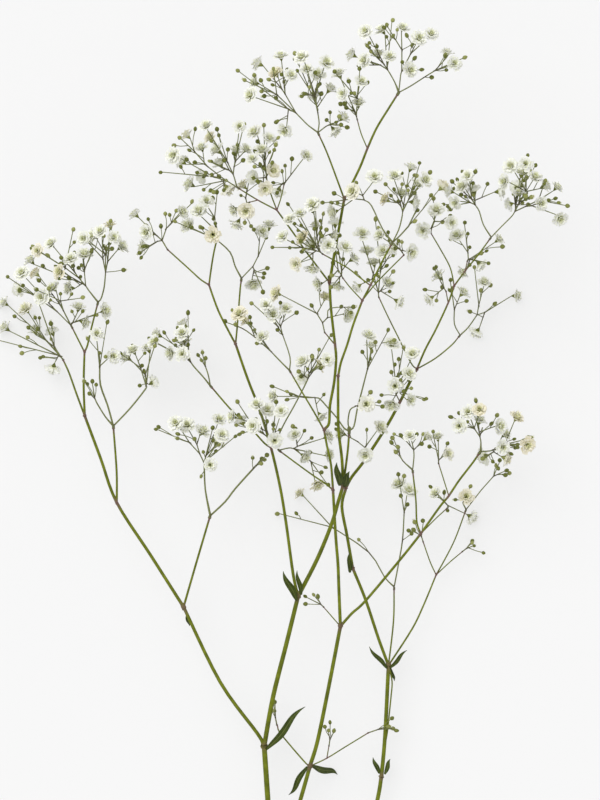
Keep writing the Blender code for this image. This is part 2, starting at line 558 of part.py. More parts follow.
class Room:
    """What is already placed, as rods with round ends."""

    def __init__(self):
        self.a = []
        self.b = []
        self.r = []
        self.owner = []

    def add(self, a, b, r, owner):
        self.a.append(tuple(a))
        self.b.append(tuple(b))
        self.r.append(r)
        self.owner.append(owner)

    def arrays(self):
        return np.array(self.a), np.array(self.b), np.array(self.r), np.array(self.owner)

    def gaps(self, a, b, r):
        """Clear distance from a rod a, b of radius r to every rod placed."""
        p, q, radii, owners = self.arrays()
        d1 = np.array(b - a)
        d2 = q - p
        w = np.array(a) - p
        aa = float(d1 @ d1) + 1e-18
        ee = np.einsum("ij,ij->i", d2, d2) + 1e-18
        ff = np.einsum("ij,ij->i", d2, w)
        cc = w @ d1
        bb = d2 @ d1
        den = aa * ee - bb * bb
        s = np.clip(np.where(den > 1e-16, (bb * ff - cc * ee) / np.maximum(den, 1e-16), 0.0), 0, 1)
        t = (bb * s + ff) / ee
        low = t < 0
        high = t > 1
        s = np.where(low, np.clip(-cc / aa, 0, 1), s)
        s = np.where(high, np.clip((bb - cc) / aa, 0, 1), s)
        t = np.clip(t, 0, 1)
        near = w + s[:, None] * d1 - t[:, None] * d2
        return np.sqrt(np.einsum("ij,ij->i", near, near)) - radii - r, owners

    def clear(self, a, b, r, owner, own_gap):
        gaps, owners = self.gaps(a, b, r)
        if np.any(gaps[owners != owner] < CLEARANCE):
            return False
        return not np.any(gaps[owners == owner] < own_gap)

    def has(self, point, owner):
        """True if a ball is placed at a point."""
        spot = tuple(point)
        return any(o == owner and a == spot and b == spot
                   for a, b, o in zip(self.a, self.b, self.owner))

    def drop(self, point, owner):
        """Takes back the ball that was placed last at a point."""
        for i in range(len(self.a) - 1, -1, -1):
            if self.owner[i] == owner and self.a[i] == tuple(point) and self.b[i] == tuple(point):
                del self.a[i], self.b[i], self.r[i], self.owner[i]
                return


# Sprays


def ahead_cost(root, direction, point):
    """How far a flower is from a branch tip, and how far off its way."""
    offset = Vector((point[0] - root[0], point[1] - root[1]))
    if offset.length < 1e-6:
        return 0.0
    side = 1.0 - offset.normalized().dot(direction)
    return offset.length * (1.0 + 1.1 * side)


def share_blooms(tips):
    """Gives each flower to the branch end whose way leads to it."""
    arms = [arm for tip in tips for arm in tip["arms"]]
    shares = [[] for _ in arms]
    for bloom in BLOOMS:
        costs = [ahead_cost(arm["pixel"], arm["flat"], bloom) for arm in arms]
        shares[costs.index(min(costs))].append(bloom)
    grouped = []
    at = 0
    for tip in tips:
        grouped.append(shares[at:at + len(tip["arms"])])
        at += len(tip["arms"])
    return grouped


class Spray:
    """Twigs, buds and flowers that grow from one branch end."""

    def __init__(self, tip, room, rng):
        self.tip = tip
        self.name = tip["name"]
        self.room = room
        self.rng = rng
        self.chains = []
        self.missed = 0
        self.heads = [0, 0]
        self.jobs = []
        self.unplaced = []
        self.left = []

    def choose_targets(self, arm, blooms):
        """Free places for the flowers of one arm, and for the buds round them."""
        rng = self.rng
        targets = []
        for x, y in blooms:
            size = BLOOM_RADIUS * rng.uniform(0.88, 1.1)
            targets.append(self.find_place(arm, x, y, size, True))
        count = max(1, round(BUDS_PER_BLOOM * len(blooms)))
        if not blooms:
            count = 2
        root_x, root_y = arm["pixel"]
        for k in range(count):
            if blooms:
                x, y = blooms[k * len(blooms) // count]
                out = Vector((x - root_x, y - root_y))
                reach = out.length + rng.uniform(3, 14)
            else:
                out = arm["flat"] * 20
                reach = rng.uniform(12, 26)
            angle = math.atan2(out.y, out.x) + rng.uniform(-0.38, 0.38)
            x = root_x + reach * math.cos(angle)
            y = root_y + reach * math.sin(angle)
            size = BUD_RADIUS * rng.uniform(0.9, 1.15)
            targets.append(self.find_place(arm, x, y, size, False))
        return [t for t in targets if t is not None]

    def find_place(self, arm, x, y, size, open_flower, wide=0.0):
        """A free height, and if need be a free place close by, for one flower."""
        rng = self.rng
        base = arm["point"]
        flat = math.hypot(x - arm["pixel"][0], y - arm["pixel"][1]) * PIXEL
        half = size * (0.60 if open_flower else 1.3)
        for attempt in range(110):
            spread = (0.35 + 0.012 * attempt + wide) * flat + 5 * MM
            z = base.z + arm["ahead"].z * flat * 0.8 + rng.uniform(-spread, spread)
            z = max(z, half)
            if (x, y) in LOW_BLOOMS:
                z = half
            shift = (0.0 if attempt < 40 else 0.12 * (attempt - 40)) + 4.0 * wide
            point = place(x + rng.uniform(-shift, shift), y + rng.uniform(-shift, shift), 0)
            point.z = z
            if (point - base).length < size * 1.7:
                continue
            if self.room.clear(point, point, size * 1.02, self.name, 0.15 * MM):
                self.room.add(point, point, size * 1.02, self.name)
                return (point, size, open_flower)
        if not wide:
            self.unplaced.append((arm, x, y, size, open_flower))
        return None

    def prepare(self, shares):
        for arm, blooms in zip(self.tip["arms"], shares):
            self.jobs.append((arm, self.choose_targets(arm, blooms)))

    def grow(self):
        """The short trunk over the branch end, its arms, then their twigs."""
        radius = self.tip["radius"]
        root = self.tip["point"]
        ahead = self.tip["ahead"]
        start = root + ahead * (SEAT_GAP + radius * 0.3)
        arms = self.tip["arms"]
        if arms[0]["path"] is None:
            chain = [(start, radius)]
            self.branch(chain, ahead, self.jobs[0][1], radius, True)
            return
        fork = start + ahead * 1.4 * MM
        trunk = [(start, radius), (fork, radius)]
        for k, (arm, targets) in enumerate(self.jobs):
            chain = trunk if k == 0 else [(fork - ahead * radius * 0.3, 0.30 * MM)]
            for point in arm["path"]:
                chain.append((point, arm["radius"]))
            for (a, r0), (b, _) in zip(chain, chain[1:]):
                self.room.add(a, b, r0, self.name)
            self.branch(chain, arm["ahead"], targets, arm["radius"], False)

    def path(self, a, b, radius, first, target=None):
        """A straight twig where there is room, else one bent clear."""
        rng = self.rng
        root = self.tip["point"] if first else None
        if self.room_for(a, b, radius, root, target):
            return [b]
        length = (b - a).length
        side = (b - a).orthogonal().normalized()
        for attempt in range(60):
            reach = length * (0.08 + 0.010 * attempt)
            turn = Matrix.Rotation(rng.uniform(0, 2 * math.pi), 4, (b - a).normalized())
            mid = a.lerp(b, rng.uniform(0.3, 0.7)) + turn @ side * reach
            if mid.z < radius * 1.2:
                continue
            if not self.room_for(a, mid, radius, root, target):
                continue
            if self.room_for(mid, b, radius, None, target):
                return [mid, b]
        return None

    def room_for(self, a, b, radius, root, target):
        """True if a twig keeps clear of the other nodes and of its own flowers."""
        gaps, owners = self.room.gaps(a, b, radius)
        p, q, _, _ = self.room.arrays()
        own = owners == self.name
        ball = (np.linalg.norm(p - q, axis=1) < 1e-9) & own
        if target is not None:
            ball &= np.linalg.norm(p - np.array(target), axis=1) > 1e-6
        foreign = ~own
        if root is not None:
            foreign &= np.linalg.norm(q - np.array(root), axis=1) > 1e-6
        if np.any(gaps[foreign] < CLEARANCE):
            return False
        return not np.any(gaps[ball] < 0.05 * MM)

    def lay(self, chain, way, radius):
        for point in way:
            self.room.add(chain[-1][0], point, radius, self.name)
            chain.append((point, radius))

    def close(self, chain, head):
        if len(chain) > 1:
            self.chains.append((chain, head))

    def end_at(self, chain, target, first, final=True):
        """The last twig of a chain, with its flower or bud."""
        rng = self.rng
        a = chain[-1][0]
        for attempt in range(14):
            point, size, open_flower = target
            way_in = (point - a).normalized()
            wobble = Vector([rng.uniform(-1, 1), rng.uniform(-1, 1), rng.uniform(-0.4, 1.3)])
            axis = (way_in + wobble * (0.42 if open_flower else 0.25)).normalized()
            root = point - axis * size * (0.60 if open_flower else 1.2)
            way = self.path(a, root, PEDICEL_RADIUS, first, point)
            if way is not None:
                self.lay(chain, way, PEDICEL_RADIUS)
                spin = rng.uniform(0, 6.28)
                if open_flower:
                    petals = 5 if rng.random() < 0.45 else 4
                    self.close(chain, ("bloom", root, axis, size, spin, petals))
                    self.heads[0] += 1
                else:
                    self.close(chain, ("bud", root, axis, size, spin))
                    self.heads[1] += 1
                return True
            if attempt % 3 == 2:
                moved = self.move(target, 0.2 + 0.08 * attempt)
                if moved is not None:
                    target = moved
        if final:
            self.left.append(target)
            self.close(chain, None)
            return False
        self.room.drop(target[0], self.name)
        return False

    def grow_missing(self):
        """A twig from any fork nearby for each flower that found no way or no place."""
        for arm, x, y, size, open_flower in self.unplaced:
            for wide in (0.3, 0.6, 1.0, 1.5, 2.0):
                target = self.find_place(arm, x, y, size, open_flower, wide)
                if target is not None:
                    self.left.append(target)
                    break
            else:
                self.missed += 1
        for target in self.left:
            if not self.reach(target):
                self.missed += 1

    def reach(self, target):
        """Tries the forks of the spray in turn, the nearest first."""
        joints = [point for chain, _ in self.chains for point, _ in chain[1:-1]]
        joints.sort(key=lambda joint: (joint - target[0]).length)
        for joint in joints[:10]:
            if not self.room.has(target[0], self.name):
                self.room.add(target[0], target[0], target[1] * 1.02, self.name)
            if self.end_at([(joint, 0.30 * MM)], target, False, False):
                return True
        return False

    def move(self, target, wide):
        """Another free place for a flower that no twig can reach."""
        point, size, open_flower = target
        x = point.x / PIXEL + ORIGIN_X
        y = ORIGIN_Y - point.y / PIXEL
        best = min(self.tip["arms"], key=lambda arm: math.hypot(x - arm["pixel"][0],
                                                                y - arm["pixel"][1]))
        self.room.drop(point, self.name)
        found = self.find_place(best, x, y, size, open_flower, wide)
        if found is None:
            self.room.add(point, point, size * 1.02, self.name)
        return found

    def branch(self, chain, ahead, targets, radius, first):
        """Grows a chain on to its flowers, forking in twos and threes."""
        if not targets:
            self.close(chain, None)
            return
        if len(targets) == 1:
            self.end_at(chain, targets[0], first)
            return
        a = chain[-1][0]
        centre = sum((t[0] for t in targets), Vector()) / len(targets)
        nearest = min((t[0] - a).length - t[1] for t in targets)
        reach = min((centre - a).length * 0.52, max(nearest * 0.62, 2.0 * MM))
        r1 = max(radius * 0.88, PEDICEL_RADIUS)
        way = None
        rng = self.rng
        for attempt in range(40):
            pull = (centre - a).normalized() + ahead * rng.uniform(0.1, 0.7)
            shake = Vector([rng.uniform(-1, 1) for _ in range(3)]) * (0.03 * attempt)
            short = rng.uniform(0.6, 1.05) * (1.0 - 0.012 * attempt)
            fork = a + (pull.normalized() + shake).normalized() * reach * short
            fork.z = max(fork.z, 1.0 * MM)
            way = self.path(a, fork, r1, first)
            if way is not None:
                break
        if way is None:
            way = []
            if first:
                way = [a + ahead * 1.2 * MM]
        self.lay(chain, way, r1)
        fork = chain[-1][0]
        onward = (fork - chain[-2][0]).normalized() if len(chain) > 1 else ahead
        groups = self.groups(fork, onward, targets, not way)
        for k, group in enumerate(groups):
            arm = chain if k == 0 else [(fork - onward * 0.15 * MM, 0.30 * MM)]
            self.branch(arm, onward, group, r1, False)

    def groups(self, fork, onward, targets, single):
        """Splits the flowers among two or three arms, the straightest first."""
        if len(targets) <= 3 or single:
            groups = [[t] for t in targets]
        else:
            spread = np.array([tuple((t[0] - fork).normalized()) for t in targets])
            spread = spread - spread.mean(axis=0)
            _, _, axes = np.linalg.svd(spread, full_matrices=False)
            order = np.argsort(spread @ axes[0], kind="stable")
            arms = 3 if len(targets) > 5 else 2
            groups = [[targets[i] for i in cut] for cut in np.array_split(order, arms)]

        def turn_to(group):
            centre = sum((t[0] for t in group), Vector()) / len(group)
            return -(centre - fork).normalized().dot(onward)

        return sorted(groups, key=turn_to)

    def build(self, collection, look):
        others = bpy.data.collections.new(self.name + "_pieces")
        bpy.context.scene.collection.children.link(others)
        first = None
        for k, (chain, head) in enumerate(self.chains):
            home = collection if first is None else others
            points = [point for point, _ in chain]
            radii = [radius * 1.15 for _, radius in chain]
            spin = self.rng.uniform(0, 2.09)
            obj = stalk(points, radii, head, spin, f"{self.name}_{k}", home)
            if first is None:
                first = obj
        obj = fuse(first, others, self.name)
        dropped = largest_body(obj)
        before = len(obj.data.polygons)
        share = thin_out(obj)
        flatten_foot(obj)
        obj.data.materials.clear()
        obj.data.materials.append(look)
        print(self.name, "blooms", self.heads[0], "buds", self.heads[1],
              "missed", self.missed, "dropped", dropped, "share", share,
              "faces", before, len(obj.data.polygons))
        return obj


# Leaves


def leaf(name, root, tip, width, lift, collection):
    """A pointed, slightly folded leaf blade with a closed thickness."""
    a = place(*root)
    b = place(*tip)
    along = b - a
    length = along.length
    ahead = along.normalized()
    side = ahead.cross(Vector((0, 0, 1))).normalized()
    up = side.cross(ahead).normalized()
    half = 0.34 * MM
    rows = len(LEAF_WIDTHS)
    bm = bmesh.new()
    rings = []
    for i, share in enumerate(LEAF_WIDTHS):
        t = i / (rows - 1)
        w = max(0.5 * width * MM * share, 0.34 * MM)
        centre = a + ahead * (length * t) + up * (math.sin(math.pi * t) * lift * MM * 0.6)
        ring = []
        for s, rise in ((-1, half * 0.9), (0, half), (1, half * 0.9),
                        (1, -half * 0.9), (0, -half), (-1, -half * 0.9)):
            fold = 0.20 * w * abs(s)
            ring.append(bm.verts.new(centre + side * (w * s) + up * (rise + fold)))
        rings.append(ring)
    for low, high in zip(rings, rings[1:]):
        for k in range(6):
            m = (k + 1) % 6
            bm.faces.new((low[k], low[m], high[m], high[k]))
    bm.faces.new(list(reversed(rings[0])))
    bm.faces.new(rings[-1])
    bmesh.ops.triangulate(bm, faces=bm.faces)
    bmesh.ops.recalc_face_normals(bm, faces=bm.faces)
    obj = object_from(bm, name, collection)
    flatten_foot(obj)
    return obj


def nearest_gap(obj, trees):
    """Smallest distance from a blade to the bodies of the trees, 0 if they meet."""
    bm = bmesh.new()
    bm.from_mesh(obj.data)
    own = BVHTree.FromBMesh(bm, epsilon=0.0)
    points = [v.co.copy() for v in bm.verts]
    points += [(e.verts[0].co + e.verts[1].co) / 2 for e in bm.edges]
    bm.free()
    gap = 1.0
    for tree in trees:
        if own.overlap(tree):
            return 0.0
        for point in points:
            gap = min(gap, tree.find_nearest(point)[3])
    return gap


def seat_leaf(blade, root, tip, trees):
    """Moves a blade along its own way until it just clears what it grows on."""
    ahead = (place(*tip) - place(*root)).normalized()
    lift = 0.0 if tip[2] == 0 else (0.4 if tip[2] > root[2] else -0.4)
    step = (ahead + Vector((0, 0, lift))).normalized() * SEAT_STEP
    if tip[2] == 0:
        step.z = 0.0
    inward = 0
    while nearest_gap(blade, trees) > 0.3 * MM and inward < 60:
        blade.data.transform(Matrix.Translation(-step))
        inward += 1
    outward = 0
    while nearest_gap(blade, trees) < 0.25 * MM and outward < 90:
        blade.data.transform(Matrix.Translation(step))
        outward += 1
    print(blade.name, "in", inward, "out", outward, "gap", nearest_gap(blade, trees))


# The stem


def is_arm(branch):
    """True for a thin branch that forks no further, beside others like it."""
    name, r0, _, points = branch
    starts = [other[3][0] for other in BRANCHES]
    if r0 > 0.62 or points[-1] in starts:
        return False
    twins = [other for other in BRANCHES if other[3][0] == points[0]]
    if len(twins) < 2 or name in SEPARATE:
        return False
    return all(twin[1] <= 0.62 and twin[3][-1] not in starts and twin[0] not in SEPARATE
               for twin in twins)


def arm_of(name, points, radius, own_path):
    flat = Vector((points[-1][0] - points[-2][0], points[-1][1] - points[-2][1]))
    ahead = place(*points[-1]) - place(*points[-2])
    return {
        "name": name,
        "pixel": points[-1][:2],
        "point": place(*points[-1]),
        "ahead": ahead.normalized(),
        "flat": flat.normalized(),
        "radius": radius * MM,
        "path": [place(*p) for p in points[1:]] if own_path else None,
    }


def find_tips():
    """The ends of the bare branches, each with the arms that grow from it."""
    arms = [branch for branch in BRANCHES if is_arm(branch)]
    bare = [branch for branch in BRANCHES if not is_arm(branch)]
    starts = [branch[3][0] for branch in bare]
    tips = []
    for name, _, r1, points in bare:
        if points[-1] in starts:
            continue
        tip = arm_of("spray_" + name, points, r1, False)
        own = [branch for branch in arms if branch[3][0] == points[-1]]
        tip["arms"] = [arm_of(branch[0], branch[3], branch[2], True) for branch in own]
        if not own:
            tip["arms"] = [tip]
        tips.append(tip)
    return bare, tips


def build_stem(bare, collection, room):
    """The base, the stems and the bare branches, fused."""
    others = bpy.data.collections.new("stem_pieces")
    bpy.context.scene.collection.children.link(others)
    first = None
    for name, r0, r1, points in bare:
        path = smooth_path([place(*p) for p in points], 1)
        body = list(path)
        if first is not None:
            onward = (body[1] - body[0]).normalized()
            body[0] = body[0] - onward * min(r0 * 0.5, 0.6) * MM
        home = collection if first is None else others
        obj = tube(body, r0 * MM, r1 * MM, 1 if r0 > 1.1 else 0, name, home)
        if first is None:
            first = obj
        for k, (a, b) in enumerate(zip(path, path[1:])):
            room.add(a, b, (r0 + (r1 - r0) * k / (len(path) - 1)) * MM * 1.04, "main_stem")
    obj = fuse(first, others, "main_stem")
    dropped = largest_body(obj)
    before = len(obj.data.polygons)
    share = thin_out(obj)
    flatten_foot(obj)
    print("main_stem dropped", dropped, "share", share, "faces", before, len(obj.data.polygons))
    obj.data.materials.clear()
    obj.data.materials.append(material("stem", "main_stem"))
    return obj


def finish(obj, angle):
    mesh = obj.data
    mesh.shade_smooth()
    mesh.set_sharp_from_angle(angle=math.radians(angle))


remove_everything()
PLANT = bpy.data.collections.new("gypsophila_stem")
bpy.context.scene.collection.children.link(PLANT)
ROOM = Room()
BARE, TIPS = find_tips()
STEM = build_stem(BARE, PLANT, ROOM)
finish(STEM, 50)
for leaf_name, leaf_root, leaf_tip, leaf_width, leaf_lift in LEAVES:
    blade = leaf(leaf_name, leaf_root, leaf_tip, leaf_width, leaf_lift, PLANT)
    blade.data.materials.append(material("leaf", leaf_name))
    finish(blade, 40)
    ROOM.add(place(*leaf_root), place(*leaf_tip), leaf_width * 0.5 * MM, leaf_name)
TREES = [BVHTree.FromPolygons([v.co for v in STEM.data.vertices],
                              [tuple(p.vertices) for p in STEM.data.polygons])]
for leaf_name, leaf_root, leaf_tip, _, _ in LEAVES:
    blade = bpy.data.objects[leaf_name]
    seat_leaf(blade, leaf_root, leaf_tip, TREES)
    TREES.append(BVHTree.FromPolygons([v.co for v in blade.data.vertices],
                                      [tuple(p.vertices) for p in blade.data.polygons]))
SPRAYS = []
for index, (tip, shares) in enumerate(zip(TIPS, share_blooms(TIPS))):
    spray = Spray(tip, ROOM, random.Random(SEED * 1000 + index))
    spray.prepare(shares)
    SPRAYS.append(spray)
for spray in SPRAYS:
    spray.grow()
for spray in SPRAYS:
    spray.grow_missing()
for spray in SPRAYS:
    done = spray.build(PLANT, material("spray", spray.name))
    finish(done, 30)
total = sum(len(obj.data.polygons) for obj in PLANT.objects)
print("TOTAL faces", total, "nodes", len(PLANT.objects),
      "blooms", sum(s.heads[0] for s in SPRAYS), "buds", sum(s.heads[1] for s in SPRAYS),
      "missed", sum(s.missed for s in SPRAYS), "of", len(BLOOMS))
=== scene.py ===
"""A cut stem of double-flowered gypsophila lying on a pale surface.

The branches, twigs and flower places repeat the part's own source, so each
piece lies where its solid lies. The flowers here have layered petals on a
green cup, the twigs are round with swollen joints, and the sprays carry
more buds than the solids do.

Everything is in metres, +Z up, with the cut end at -Y.
"""
import math
import random

import bmesh
import bpy
import numpy as np
from mathutils import Matrix, Vector
from mathutils.kdtree import KDTree


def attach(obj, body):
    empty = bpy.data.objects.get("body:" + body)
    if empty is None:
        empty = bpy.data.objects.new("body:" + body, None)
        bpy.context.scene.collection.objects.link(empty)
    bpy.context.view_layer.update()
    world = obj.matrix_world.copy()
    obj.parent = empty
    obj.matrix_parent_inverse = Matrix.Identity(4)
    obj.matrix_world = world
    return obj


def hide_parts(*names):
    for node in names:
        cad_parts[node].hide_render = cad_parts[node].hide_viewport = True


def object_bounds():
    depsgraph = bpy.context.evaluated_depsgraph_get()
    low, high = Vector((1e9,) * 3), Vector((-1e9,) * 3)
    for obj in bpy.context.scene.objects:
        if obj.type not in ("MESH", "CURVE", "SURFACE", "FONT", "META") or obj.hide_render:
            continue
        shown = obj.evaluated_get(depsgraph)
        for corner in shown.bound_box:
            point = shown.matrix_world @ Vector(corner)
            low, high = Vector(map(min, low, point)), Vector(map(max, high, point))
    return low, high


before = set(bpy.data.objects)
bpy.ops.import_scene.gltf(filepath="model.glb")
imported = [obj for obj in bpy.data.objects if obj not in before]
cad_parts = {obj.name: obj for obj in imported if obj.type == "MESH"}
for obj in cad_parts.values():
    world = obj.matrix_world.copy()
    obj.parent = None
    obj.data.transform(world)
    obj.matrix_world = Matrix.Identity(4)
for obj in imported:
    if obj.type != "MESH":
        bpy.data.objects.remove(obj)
CAD_BOX = [list(corner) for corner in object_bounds()]
bpy.ops.object.select_all(action="DESELECT")

# Scale and origin
MM = 0.001
PIXEL = 0.6 * MM
ORIGIN_X = 279.3
ORIGIN_Y = 524.8

# Flowers and buds
BLOOM_RADIUS = 4.2 * MM
BUD_RADIUS = 1.25 * MM
BUDS_PER_BLOOM = 0.42

# Twigs
PEDICEL_RADIUS = 0.33 * MM
SEAT_GAP = 0.35 * MM
CLEARANCE = 0.45 * MM
SEED = 41

# Flowers that touch the surface
LOW_BLOOMS = {(4, 328), (33, 331), (517, 295), (479, 330), (471, 517)}

